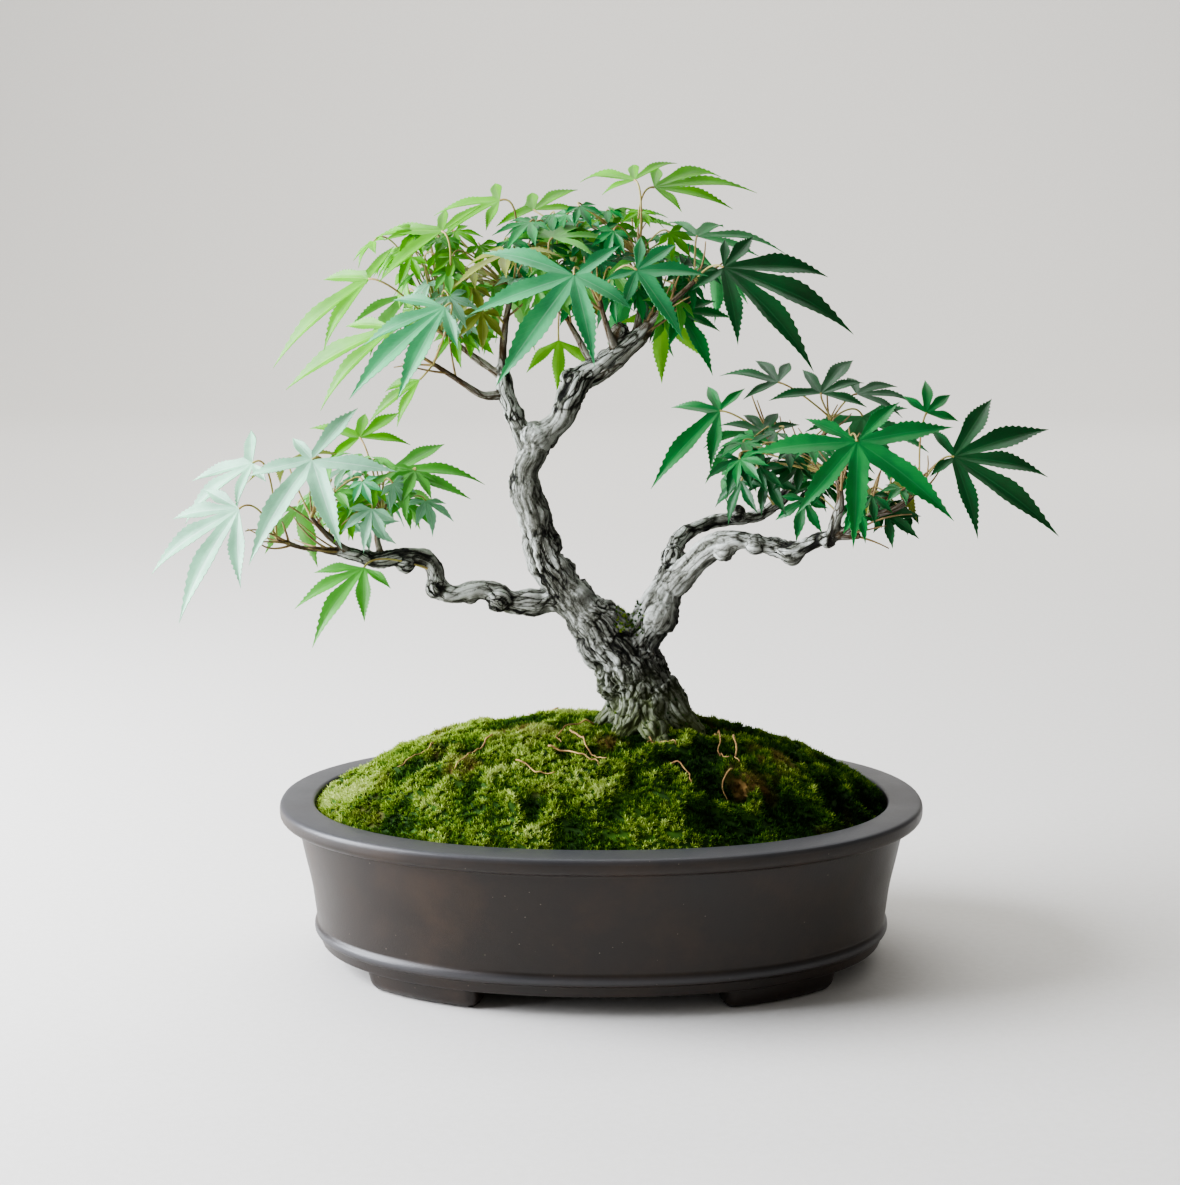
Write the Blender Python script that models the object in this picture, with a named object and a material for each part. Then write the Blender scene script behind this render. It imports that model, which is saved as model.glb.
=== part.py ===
"""Japanese maple bonsai in an oval stoneware pot.

Frame: metres, +Z up. The origin is on the surface that the pot stands on, under the middle of the
oval. X runs along the pot's long side, -Y is the front. Sizes below are in millimetres and MM turns
them to metres.
"""
import math
from collections import namedtuple

import bmesh
import bpy
from mathutils import Matrix, Vector

MM = 0.001
GAP = 0.35                     # clearance between pieces that touch

# Pot: an oval of superellipse form, drawn inwards from the outer line of the rim
POT_HALF_LENGTH = 150.0
POT_HALF_WIDTH = 113.0
OVAL_POWER = 2.15
POT_HEIGHT = 76.5
POT_SIDES = 48
FOOT_HEIGHT = 9.5
FLOOR_TOP = 17.5
RIM_WIDTH = 16.0
FOOT_DEPTH = 18.0
FOOT_ROUNDING = 5.0
FOOT_TAPER = 0.98              # size of the feet's ring where it stands, to that at the base
FOOT_SIDES = (5, 6, 7, 8)      # sides of the oval that carry the foot of the first quarter
BASE_INSET = 18.5
DRAIN_X = 62.0
DRAIN_RADIUS = 7.0

# (distance in from the rim's outer line, height) down the outside, from the rim's inner edge
POT_OUTSIDE = (
    (RIM_WIDTH, POT_HEIGHT - 0.8), (RIM_WIDTH - 1.2, POT_HEIGHT), (1.4, POT_HEIGHT - 0.2),
    (0.0, POT_HEIGHT - 2.0), (0.0, 70.4), (1.4, 68.8), (8.2, 67.4), (9.0, 63.0), (11.0, 53.0),
    (14.4, 38.0), (16.5, 21.0), (15.3, 19.2), (15.1, 16.6), (17.2, 14.6), (BASE_INSET, FOOT_HEIGHT),
    (BASE_INSET + FOOT_DEPTH, FOOT_HEIGHT))
# up the inside, from the floor's edge
POT_INSIDE = ((33.0, FLOOR_TOP), (27.0, 21.5), (24.0, 30.0), (18.6, 64.0), (17.0, 73.0))

# Layers that the pot holds
GRIT_KNEE = 22.0
GRIT_TOP = 26.0
SOIL_KNEE = 30.5
SOIL_EDGE = 66.0
MOSS_EDGE = 74.5
MOUND_RISE = 38.0
MOUND_POWER = 2.4
MOUND_RINGS = (0.95, 0.84, 0.7, 0.54, 0.36, 0.18)

# Drainage mesh over each hole, and the bent wire that holds it
MESH_CELLS = 4
MESH_CELL = 4.6
MESH_BAR = 1.4
MESH_THICKNESS = 0.8
MESH_POCKET = 4.6              # room in the grit above the floor
WIRE_DIAMETER = 1.5
WIRE_HALF_SPAN = 3.0
WIRE_TAIL = 9.0
WIRE_BEND = 1.6

# Leaf blades and petioles
BLADE_THICKNESS = 0.8
SHOULDER_REACH = 0.5           # where along its length a lobe is widest
SHOULDER_TURN = math.radians(15.7)   # from a lobe's midrib to the edge of its widest part
SHOULDER_SHARE = 0.4           # the most of the gap to the next lobe that a shoulder takes
SINUS_REACH = 0.27             # share of the shorter neighbour's length
LOBE_DROOP = 0.10
PETIOLE_WIDTH = 1.3
PETIOLE_BEND = 0.3             # how far along the blade's own line the curve is drawn
PETIOLE_RISE = 0.06            # how far it arches upwards
PETIOLE_CLEARANCE = 1.3        # between its foot and the twig's tip
PETIOLE_LIFT = 0.8

# Wood and fine roots
STOUT_LIMB = 5.5               # limbs thicker than this get more sides
ROOT_THREAD_WIDTH = 1.0
ROOT_THREAD_LIFT = 0.9

MATERIALS = {
    "stoneware": ((0.075, 0.060, 0.050, 1.0), 0.55),
    "bark": ((0.36, 0.34, 0.30, 1.0), 0.85),
    "leaf": ((0.09, 0.33, 0.10, 1.0), 0.5),
    "moss": ((0.12, 0.25, 0.03, 1.0), 0.95),
    "soil": ((0.06, 0.035, 0.02, 1.0), 1.0),
    "grit": ((0.45, 0.36, 0.24, 1.0), 0.95),
    "mesh plastic": ((0.02, 0.02, 0.02, 1.0), 0.6),
    "wire": ((0.55, 0.36, 0.24, 1.0), 0.4),
    "root": ((0.42, 0.30, 0.17, 1.0), 0.8),
}

# Wood: each limb is a row of (x, y, z, thickness), from its parent out to its tip
LIMBS = {
    "limb_top_right": ((-31, 0, 240, 12), (-20, 0, 252, 12), (-15, -2, 261, 11), (-10, -3, 271, 10),
                       (0, -4, 279, 8), (14, -5, 289, 6), (21, -6, 295, 4)),
    "limb_top_twin": ((-10, 2, 267, 6), (1, 7, 272, 5.2), (11, 9, 280, 5), (19, 10, 288, 4.4),
                      (25, 11, 297, 3)),
    "limb_top_left": ((-33, 0, 236, 10), (-40, 2, 255, 8), (-44, 3, 267, 7), (-45, 4, 278, 4.6),
                      (-44, 6, 295, 3.2), (-41, 8, 310, 2.4)),
    "limb_left": ((-18, 0, 170, 13), (-39, -1, 167, 11), (-48, -2, 172, 10), (-58, -3, 174, 9.6),
                  (-67, -3, 172, 9), (-75, -2, 174, 9), (-77, -2, 182, 8), (-82, -2, 188, 8),
                  (-91, -3, 190, 7.4), (-101, -4, 188, 7), (-109, -5, 189, 6.4), (-119, -6, 192, 5),
                  (-128, -8, 193, 3)),
    "limb_right": ((13, 0, 140, 22), (22, 0, 156, 18), (28, 0, 167, 16.5), (34, 0, 182, 14)),
    "limb_right_back": ((32, 1, 174, 10), (34, 10, 188, 8.5), (38, 19, 195, 7.6), (46, 24, 199, 7),
                        (55, 28, 202, 6.6), (65, 30, 203, 6.6), (75, 32, 204, 6.2), (83, 34, 208, 6),
                        (89, 36, 215, 5.7), (93, 38, 223, 5), (99, 40, 233, 3.6)),
    "limb_right_front": ((30, -1, 172, 14), (42, -5, 186, 12), (50, -10, 194, 10.5), (62, -14, 198, 9),
                         (71, -16, 197, 8), (80, -18, 196, 7.8), (86, -20, 194, 8), (93, -22, 197, 7),
                         (101, -24, 201, 6.4), (108, -26, 202, 4.4), (116, -28, 202, 2.6)),
    "dead_stub": ((91, 37, 219, 4.6), (84, 44, 227, 4.6), (76, 48, 223, 5), (65, 51, 217, 4)),
    "twig_top_far_left": ((-43, 3, 264, 5), (-54, 0, 263, 4), (-66, -4, 271, 3), (-76, -8, 278, 2.2)),
    "twig_top_left": ((-44, 3, 270, 4.4), (-59, 6, 281, 3.2), (-73, 8, 291, 2.2)),
    "twig_top_crown": ((15, -5, 290, 4.4), (18, -2, 308, 3), (17, 6, 326, 2.2)),
    "twig_top_front": ((6, -5, 284, 4.4), (2, -12, 296, 3), (-1, -19, 307, 2.2)),
    "twig_top_right": ((18, -6, 293, 4), (31, -7, 305, 3), (42, -5, 315, 2.2)),
    "twig_top_back": ((22, 10, 293, 3.6), (30, 19, 304, 2.8), (35, 28, 313, 2.2)),
    "twig_top_middle": ((-3, -4, 276, 4.4), (-12, 5, 291, 3), (-19, 13, 304, 2.2)),
    "twig_left_front": ((-115, -5, 191, 4), (-124, -14, 200, 3), (-131, -22, 210, 2.2)),
    "twig_left_end": ((-124, -7, 193, 3.2), (-137, -14, 195, 2.6), (-147, -20, 200, 2.2)),
    "twig_left_back": ((-101, -4, 189, 4), (-104, 4, 198, 3), (-102, 10, 208, 2.2)),
    "twig_right_up": ((103, -25, 201, 5.4), (106, -27, 212, 5), (107, -28, 220, 3.6), (105, -28, 229, 2.4)),
    "twig_right_middle": ((106, -26, 202, 4.6), (119, -27, 211, 3.8), (128, -29, 221, 2.4)),
    "twig_right_end": ((116, -27, 209, 3.4), (133, -26, 215, 3), (143, -23, 223, 2.2)),
    "twig_back_inner": ((94, 38, 224, 3.6), (86, 40, 235, 2.8), (77, 40, 243, 2.2)),
    "twig_back_outer": ((97, 40, 230, 3.6), (105, 36, 241, 2.8), (109, 31, 250, 2.2)),
}
TRUNK = ((24, 2, 84, 40), (24, 1, 100, 44), (22, 0, 112, 39), (18, 0, 126, 34), (12, 0, 139, 30),
         (2, 0, 152, 27), (-8, 0, 163, 21.5), (-19, 0, 177, 17.5), (-26, 0, 191, 16.5),
         (-30, 0, 204, 15.6), (-34, 0, 217, 14.7), (-34, 0, 230, 13.5), (-30, 0, 244, 12))
ROOTS = (
    ((30, -4, 104, 20), (46, -10, 97, 12), (66, -18, 84, 7), (88, -26, 66, 3)),
    ((16, -8, 102, 18), (4, -24, 94, 11), (-10, -42, 80, 6), (-22, -58, 62, 3)),
    ((12, 4, 102, 18), (-6, 8, 95, 12), (-30, 14, 83, 7), (-54, 20, 66, 3)),
    ((26, 10, 102, 18), (34, 26, 94, 11), (46, 44, 80, 6), (56, 58, 62, 3)),
    ((22, 0, 90, 24), (18, -2, 70, 12), (10, -6, 52, 7), (0, -8, 38, 3)),
)
# Fine surface roots lying over the moss, as (x, y) along each
ROOT_THREADS = {
    "surface_root_left": ((-50, -22), (-55, -30), (-60, -40), (-66, -47)),
    "surface_root_front_left": ((-14, -27), (-8, -38), (-4, -48), (2, -55)),
    "surface_root_front": ((-24, -42), (-15, -46), (-7, -51), (-1, -57)),
    "surface_root_front_right": ((60, -20), (62, -27), (60, -36), (62, -45)),
}

OLD_WOOD_FOOT = {"limb_left_fork": (-80.0, -9.0, 180.0)}   # a petiole that grows from old wood

Leaf = namedtuple("Leaf", "at facing lobes twig")
# Leaves: where blade and petiole meet, which way the upper side faces, each lobe as (bearing in
# degrees from the blade's level line, length), and the twig that the petiole grows from
LEAVES = {
    "leaf_left_01": Leaf((-127, -45, 238), (-.15, -.75, .65),
                         ((135, 18), (65, 35), (-5, 38), (-65, 46), (-115, 54), (-165, 30)),
                         "twig_left_front"),
    "leaf_left_02": Leaf((-157, -20, 234), (-.4, -.6, .7),
                         ((125, 26), (-165, 36), (-135, 42), (-85, 24), (-35, 16)), "twig_left_end"),
    "leaf_left_03": Leaf((-160, -42, 216), (-.3, -.75, .6),
                         ((155, 24), (-175, 36), (-145, 50), (-110, 56), (-75, 38)), "twig_left_end"),
    "leaf_left_04": Leaf((-95, 2, 228), (.1, -.5, .85),
                         ((45, 39), (5, 43), (-25, 37), (-85, 32), (-145, 31), (120, 18)),
                         "twig_left_back"),
    "leaf_left_05": Leaf((-113, 22, 242), (.1, -.6, .75),
                         ((80, 20), (45, 30), (0, 24), (150, 26), (-140, 20)), "twig_left_back"),
    "leaf_left_06": Leaf((-108, -16, 186), (-.1, -.6, .75),
                         ((-175, 24), (-145, 36), (-115, 44), (-80, 30), (-35, 18)), "limb_left_fork"),
    "leaf_left_07": Leaf((-97, 26, 218), (-.1, .6, .7),
                         ((-150, 24), (-115, 32), (-80, 34), (-35, 24)), "twig_left_back"),
    "leaf_left_08": Leaf((-143, 2, 234), (-.3, .2, .95),
                         ((150, 26), (-170, 32), (-120, 28), (-70, 24), (105, 18)), "twig_left_front"),
    "leaf_left_09": Leaf((-141, 12, 211), (-.3, .7, .6),
                         ((160, 22), (-155, 32), (-110, 38), (-65, 30), (-20, 20)), "twig_left_back"),
    "leaf_crown_01": Leaf((15, 4, 360), (-.2, -.5, .8),
                          ((160, 35), (-150, 16), (60, 25), (110, 18)), "twig_top_crown"),
    "leaf_crown_02": Leaf((24, 10, 357), (.1, -.5, .8),
                          ((75, 22), (35, 48), (15, 55), (-15, 37), (-60, 20)), "twig_top_crown"),
    "leaf_crown_03": Leaf((-46, 4, 351), (-.2, -.5, .8),
                          ((120, 20), (-175, 34), (-135, 32), (-90, 20)), "limb_top_left"),
    "leaf_crown_04": Leaf((-31, 20, 347), (0, -.5, .8),
                          ((95, 20), (55, 34), (10, 24), (-150, 20)), "twig_top_crown"),
    "leaf_crown_05": Leaf((9, 38, 342), (0, .3, .9),
                          ((175, 28), (130, 34), (85, 36), (40, 32), (-10, 26)), "twig_top_crown"),
    "leaf_crown_06": Leaf((-26, 36, 331), (-.2, .5, .8),
                          ((-150, 26), (170, 30), (130, 38), (85, 34), (40, 26)), "limb_top_left"),
    "leaf_far_left_01": Leaf((-71, -14, 337), (-.3, -.6, .75),
                             ((175, 41), (-130, 36), (60, 22), (110, 18)), "twig_top_left"),
    "leaf_far_left_02": Leaf((-104, -14, 316), (-.4, -.6, .7),
                             ((85, 22), (175, 30), (-130, 58), (-105, 38)), "twig_top_left"),
    "leaf_far_left_03": Leaf((-95, 6, 294), (-.4, -.6, .7),
                             ((175, 32), (-150, 62), (-120, 50), (-80, 26)), "twig_top_left"),
    "leaf_far_left_04": Leaf((-69, -32, 304), (-.2, -.7, .65),
                             ((165, 28), (-155, 40), (-130, 58), (-105, 48), (-65, 24)),
                             "twig_top_far_left"),
    "leaf_far_left_05": Leaf((-90, 34, 309), (-.4, .5, .8),
                             ((150, 24), (-150, 24), (-120, 34), (-80, 38), (-35, 32)), "twig_top_left"),
    "leaf_far_left_06": Leaf((-82, -10, 271), (-.3, -.5, .5),
                             ((-135, 30), (-165, 20), (-100, 24)), "twig_top_far_left"),
    "leaf_top_01": Leaf((-12, -50, 318), (0, -.8, .6),
                        ((155, 44), (-160, 48), (-122, 60), (-78, 43), (-30, 30), (40, 27)),
                        "twig_top_front"),
    "leaf_top_02": Leaf((15, -44, 320), (.2, -.8, .55),
                        ((75, 20), (38, 27), (3, 34), (-62, 36), (-115, 20), (-165, 15)), "twig_top_front"),
    "leaf_top_03": Leaf((54, -20, 321), (.2, -.75, .6),
                        ((75, 18), (45, 27), (5, 54), (-22, 66), (-52, 60), (-88, 38), (-145, 20)),
                        "twig_top_right"),
    "leaf_top_04": Leaf((44, 18, 335), (.1, -.4, .9),
                        ((50, 31), (5, 46), (-30, 30), (105, 26), (165, 20)), "twig_top_right"),
    "leaf_top_05": Leaf((36, 4, 301), (.1, -.7, .6),
                        ((25, 20), (-2, 25), (-28, 20), (-68, 34), (-110, 20)), "twig_top_right"),
    "leaf_top_06": Leaf((28, 26, 298), (0, .8, .5),
                        ((-90, 34), (-50, 30), (-135, 30), (-5, 20), (-175, 20)), "twig_top_back"),
    "leaf_top_07": Leaf((-20, 34, 287), (0, .8, .5),
                        ((-90, 26), (-45, 22), (-140, 22)), "twig_top_middle"),
    "leaf_top_08": Leaf((54, 46, 320), (.4, .5, .8),
                        ((70, 30), (25, 40), (-20, 42), (-65, 36), (-110, 24)), "twig_top_back"),
    "leaf_top_09": Leaf((14, 54, 312), (0, .8, .6),
                        ((150, 26), (-165, 36), (-120, 44), (-75, 44), (-30, 34), (15, 26)),
                        "twig_top_back"),
    "leaf_top_10": Leaf((-46, 46, 317), (-.1, .75, .6),
                        ((165, 26), (-155, 32), (-115, 42), (-80, 44), (-40, 30)), "twig_top_middle"),
    "leaf_top_11": Leaf((-42, -26, 327), (-.2, -.3, .9),
                        ((150, 20), (-160, 20), (-110, 30), (20, 26), (-60, 22)), "limb_top_left"),
    "leaf_top_12": Leaf((-22, -14, 334), (0, -.35, .9),
                        ((170, 24), (120, 26), (60, 30), (15, 30), (-35, 24)), "twig_top_middle"),
    "leaf_right_01": Leaf((110, -58, 247), (0, -.85, .5),
                          ((150, 25), (-178, 47), (-130, 42), (-93, 47), (-37, 53), (13, 44), (48, 29)),
                          "twig_right_up"),
    "leaf_right_02": Leaf((158, -22, 237), (.1, -.8, .6),
                          ((115, 19), (55, 44), (22, 54), (-5, 46), (-38, 58), (-80, 39), (-145, 15)),
                          "twig_right_end"),
    "leaf_right_03": Leaf((57, 44, 253), (-.2, -.7, .7),
                          ((170, 26), (-125, 50), (-90, 32), (60, 18), (120, 20)), "twig_back_inner"),
    "leaf_right_04": Leaf((102, 16, 263), (0, -.6, .75),
                          ((110, 21), (60, 37), (30, 25), (-15, 22), (180, 24)), "twig_back_outer"),
    "leaf_right_05": Leaf((84, 36, 267), (0, -.5, .8),
                          ((150, 31), (70, 22), (110, 26), (-150, 20)), "twig_back_outer"),
    "leaf_right_06": Leaf((149, 2, 255), (.1, -.8, .5),
                          ((80, 20), (40, 18), (-10, 16), (135, 14)), "twig_right_end"),
    "leaf_right_07": Leaf((76, 16, 245), (0, -.5, .8),
                          ((150, 24), (115, 22), (70, 22), (-160, 20), (30, 20)), "twig_back_inner"),
    "leaf_right_08": Leaf((134, -12, 226), (0, -.7, .7),
                          ((-70, 22), (-120, 18), (-25, 16)), "twig_right_middle"),
    "leaf_right_09": Leaf((120, 28, 262), (.1, -.4, .85),
                          ((80, 22), (30, 31), (0, 34), (-40, 24)), "twig_back_outer"),
    "leaf_right_10": Leaf((126, 52, 250), (.3, .7, .6),
                          ((160, 26), (-150, 36), (-105, 42), (-60, 40), (-15, 30)), "twig_back_outer"),
    "leaf_right_11": Leaf((72, 62, 242), (-.2, .75, .6),
                          ((165, 20), (-150, 28), (-105, 38), (-60, 34), (-15, 24)), "twig_back_inner"),
}


def clear_scene():
    """Remove every object that the file opened with."""
    for old in list(bpy.data.objects):
        bpy.data.objects.remove(old, do_unlink=True)


def material(name):
    """Return the named Principled material, made once."""
    made = bpy.data.materials.get(name)
    if made:
        return made
    colour, roughness = MATERIALS[name]
    made = bpy.data.materials.new(name)
    made.use_nodes = True
    shader = made.node_tree.nodes["Principled BSDF"]
    shader.inputs["Base Color"].default_value = colour
    shader.inputs["Roughness"].default_value = roughness
    shader.inputs["Metallic"].default_value = 1.0 if name == "wire" else 0.0
    made.diffuse_color = colour
    return made


def add_object(name, mesh, finish):
    """Link a mesh to the scene under a name, with one material."""
    piece = bpy.data.objects.new(name, mesh)
    bpy.context.scene.collection.objects.link(piece)
    mesh.materials.clear()
    mesh.materials.append(material(finish))
    return piece


def mesh_from(bm, name):
    """Turn a bmesh with outward faces into a mesh in metres."""
    bmesh.ops.recalc_face_normals(bm, faces=bm.faces[:])
    bmesh.ops.scale(bm, vec=(MM, MM, MM), verts=bm.verts[:])
    mesh = bpy.data.meshes.new(name)
    bm.to_mesh(mesh)
    bm.free()
    return mesh


def apply_boolean(piece, other, operation):
    """Union or subtract another object with the exact solver, and remove that object."""
    cut = piece.modifiers.new("boolean", "BOOLEAN")
    cut.operation = operation
    cut.solver = "EXACT"
    cut.use_self = operation == "UNION"
    cut.object = other
    graph = bpy.context.evaluated_depsgraph_get()
    mesh = bpy.data.meshes.new_from_object(piece.evaluated_get(graph))
    piece.modifiers.clear()
    piece.data = mesh
    bpy.data.objects.remove(other, do_unlink=True)


# ---------------------------------------------------------------- oval rings

def oval_point(step, inset, height):
    """Point of the pot's oval, moved straight in from the rim's outer line."""
    turn = 2.0 * math.pi * step / POT_SIDES
    cosine, sine = math.cos(turn), math.sin(turn)
    power = 2.0 / OVAL_POWER
    x = POT_HALF_LENGTH * math.copysign(abs(cosine) ** power, cosine)
    y = POT_HALF_WIDTH * math.copysign(abs(sine) ** power, sine)
    slope = OVAL_POWER - 1.0
    outward = Vector((math.copysign(abs(x / POT_HALF_LENGTH) ** slope, x) / POT_HALF_LENGTH,
                      math.copysign(abs(y / POT_HALF_WIDTH) ** slope, y) / POT_HALF_WIDTH, 0.0)).normalized()
    return Vector((x, y, height)) - outward * inset


def oval_ring(inset, height):
    """One closed ring of the oval."""
    return [oval_point(step, inset, height) for step in range(POT_SIDES)]


def loft(bm, rings, cap_start=True, cap_end=True):
    """Join rings of equal count side by side, and cap the ends."""
    rows = [[bm.verts.new(point) for point in ring] for ring in rings]
    count = len(rows[0])
    for lower, upper in zip(rows, rows[1:]):
        for step in range(count):
            after = (step + 1) % count
            bm.faces.new((lower[step], lower[after], upper[after], upper[step]))
    if cap_start:
        bm.faces.new(rows[0])
    if cap_end:
        bm.faces.new(rows[-1])
    return rows


def mound_height(share, edge):
    """Height of the mound at a share of the way from its middle to the pot's wall."""
    return edge + MOUND_RISE * (1.0 - share ** MOUND_POWER)


def mound_rings(edge):
    """Rings of a mound's surface that starts at the wall at a height, from the wall to the middle."""
    wall = held_ring(edge)
    rings = []
    for share in (1.0,) + MOUND_RINGS:
        level = mound_height(share, edge)
        rings.append([Vector((point.x * share, point.y * share, level)) for point in wall])
    return rings


def moss_level(x, y):
    """Height of the moss at a place."""
    wall = POT_HALF_LENGTH - RIM_WIDTH, POT_HALF_WIDTH - RIM_WIDTH
    share = (abs(x / wall[0]) ** OVAL_POWER + abs(y / wall[1]) ** OVAL_POWER) ** (1.0 / OVAL_POWER)
    return mound_height(min(share, 1.0), MOSS_EDGE)


def held_ring(height):
    """Ring just inside the pot's inner wall, for what the pot holds up to there."""
    insets = [inset for inset, level in POT_INSIDE]
    levels = [level for inset, level in POT_INSIDE]
    upper = next((place for place, level in enumerate(levels) if level > height), len(levels) - 1)
    share = min(1.0, (height - levels[upper - 1]) / (levels[upper] - levels[upper - 1]))
    inset = insets[upper - 1] + share * (insets[upper] - insets[upper - 1])
    return oval_ring(inset + 2 * GAP, height)


# ---------------------------------------------------------------- pot and what it holds

def pot_mesh():
    """Rim, wall, rib, floor and feet, as one fired piece."""
    bm = bmesh.new()
    outside = [oval_ring(inset, height) for inset, height in reversed(POT_OUTSIDE)]
    inside = [oval_ring(inset, height) for inset, height in reversed(POT_INSIDE)]
    rows = loft(bm, outside + inside)
    under, rim_of_base = rows[0], rows[1]
    half = POT_SIDES // 2
    mirrored = [half - 1 - side for side in FOOT_SIDES]
    sides = set(FOOT_SIDES) | set(mirrored)
    sides |= {(side + half) % POT_SIDES for side in sides}
    feet = []
    for side in sorted(sides):
        after = (side + 1) % POT_SIDES
        corners = {under[side], under[after], rim_of_base[side], rim_of_base[after]}
        feet += [face for face in rim_of_base[side].link_faces if set(face.verts) == corners]
    grown = bmesh.ops.extrude_face_region(bm, geom=feet)
    lowered = [item for item in grown["geom"] if isinstance(item, bmesh.types.BMVert)]
    bmesh.ops.translate(bm, vec=(0.0, 0.0, -FOOT_HEIGHT), verts=lowered)
    bmesh.ops.scale(bm, vec=(FOOT_TAPER, FOOT_TAPER, 1.0), verts=lowered)
    bmesh.ops.delete(bm, geom=feet, context="FACES_ONLY")
    upright = [edge for edge in bm.edges if is_foot_end(edge)]
    bmesh.ops.bevel(bm, geom=upright, offset=FOOT_ROUNDING, segments=2, affect="EDGES", profile=0.5)
    return mesh_from(bm, "pot")


def is_foot_end(edge):
    """True for an upright edge at either end of a foot."""
    lower, upper = sorted(edge.verts, key=lambda vertex: vertex.co.z)
    upright = lower.co.z < 0.1 and abs(upper.co.z - FOOT_HEIGHT) < 0.1
    if not upright or len(edge.link_faces) != 2:
        return False
    return edge.calc_face_angle(0.0) > math.radians(60.0)


def build_pot():
    """The pot with its two drainage holes."""
    pot = add_object("pot", pot_mesh(), "stoneware")
    for x in (-DRAIN_X, DRAIN_X):
        bm = bmesh.new()
        bmesh.ops.create_cone(bm, cap_ends=True, segments=24, radius1=DRAIN_RADIUS, radius2=DRAIN_RADIUS,
                              depth=4 * FOOT_HEIGHT, matrix=Matrix.Translation((x, 0.0, FOOT_HEIGHT)))
        apply_boolean(pot, add_object("drain", mesh_from(bm, "drain"), "stoneware"), "DIFFERENCE")
    return pot


def build_drainage_mesh(name, x):
    """A square of plastic mesh that lies over a drainage hole."""
    pitch = MESH_CELL + MESH_BAR
    width = MESH_CELLS * pitch + MESH_BAR
    lines = [x - width / 2.0]
    for _ in range(MESH_CELLS):
        lines += [lines[-1] + MESH_BAR, lines[-1] + pitch]
    lines.append(lines[-1] + MESH_BAR)
    level = FLOOR_TOP + GAP
    bm = bmesh.new()
    grid = [[bm.verts.new((across, along - x, level)) for along in lines] for across in lines]
    count = len(lines) - 1
    faces = []
    for row in range(count):
        for column in range(count):
            if row % 2 == 1 and column % 2 == 1:
                continue
            corners = (grid[row][column], grid[row + 1][column],
                       grid[row + 1][column + 1], grid[row][column + 1])
            faces.append(bm.faces.new(corners))
    grown = bmesh.ops.extrude_face_region(bm, geom=faces, use_keep_orig=True)
    raised = [item for item in grown["geom"] if isinstance(item, bmesh.types.BMVert)]
    bmesh.ops.translate(bm, vec=(0.0, 0.0, MESH_THICKNESS), verts=raised)
    return add_object(name, mesh_from(bm, name), "mesh plastic")


def build_mesh_wire(name, x):
    """The bent wire whose two legs go down the hole and turn out under the floor."""
    under = FOOT_HEIGHT - GAP - WIRE_DIAMETER / 2.0
    over = FLOOR_TOP + GAP + MESH_THICKNESS + GAP + WIRE_DIAMETER / 2.0
    leg = WIRE_HALF_SPAN
    half = ((leg + WIRE_TAIL, under), (leg + WIRE_BEND, under),
            (leg + 0.2 * WIRE_BEND, under + 0.5 * WIRE_BEND), (leg, under + 1.5 * WIRE_BEND),
            (leg, over - 0.75 * WIRE_BEND), (leg - 0.6 * WIRE_BEND, over))
    route = [(x - across, height) for across, height in half]
    route += [(x + across, height) for across, height in half[::-1]]
    return build_tube(name, [(across, leg, height, WIRE_DIAMETER) for across, height in route], "wire", 2)


def build_grit():
    """The drainage layer, with a pocket over each mesh."""
    bm = bmesh.new()
    loft(bm, [held_ring(FLOOR_TOP + GAP), held_ring(GRIT_KNEE), held_ring(GRIT_TOP)])
    grit = add_object("grit_layer", mesh_from(bm, "grit_layer"), "grit")
    width = MESH_CELLS * (MESH_CELL + MESH_BAR) + MESH_BAR + 2 * GAP
    for x in (-DRAIN_X, DRAIN_X):
        bm = bmesh.new()
        bmesh.ops.create_cube(bm, size=1.0)
        bmesh.ops.scale(bm, vec=(width, width, 2 * MESH_POCKET), verts=bm.verts[:])
        bmesh.ops.translate(bm, vec=(x, 0.0, FLOOR_TOP), verts=bm.verts[:])
        apply_boolean(grit, add_object("pocket", mesh_from(bm, "pocket"), "grit"), "DIFFERENCE")
    return grit


def build_soil():
    """The soil from the grit up to the underside of the moss, cut by the roots."""
    bm = bmesh.new()
    loft(bm, [held_ring(GRIT_TOP + GAP), held_ring(SOIL_KNEE)] + mound_rings(SOIL_EDGE))
    soil = add_object("soil", mesh_from(bm, "soil"), "soil")
    cut_by_tree(soil)
    return soil


def build_moss():
    """The moss carpet, one mat over the mound with the trunk growing through it."""
    bm = bmesh.new()
    loft(bm, mound_rings(SOIL_EDGE + GAP)[::-1] + mound_rings(MOSS_EDGE))
    moss = add_object("moss", mesh_from(bm, "moss"), "moss")
    cut_by_tree(moss)
    return moss


def cut_by_tree(piece):
    """Take the trunk's foot and the roots out of a piece, with clearance."""
    runs = (TRUNK[:4],) + ROOTS
    grown = [[(x, y, z, width + 4 * GAP) for x, y, z, width in run] for run in runs]
    for run in grown:
        start, end = Vector(run[0][:3]), Vector(run[-1][:3])
        tip = end + (end - Vector(run[-2][:3])).normalized() * GAP
        run[-1] = (*tip, run[-1][3])
        run[0] = (*(start - Vector((0.0, 0.0, GAP))), run[0][3])
    cutter = build_tube("tree_cutter", grown[0], "soil", 4)
    for run in grown[1:]:
        apply_boolean(cutter, build_tube("root_cutter", run, "soil", 2), "UNION")
    apply_boolean(piece, cutter, "DIFFERENCE")


# ---------------------------------------------------------------- tree

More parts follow.
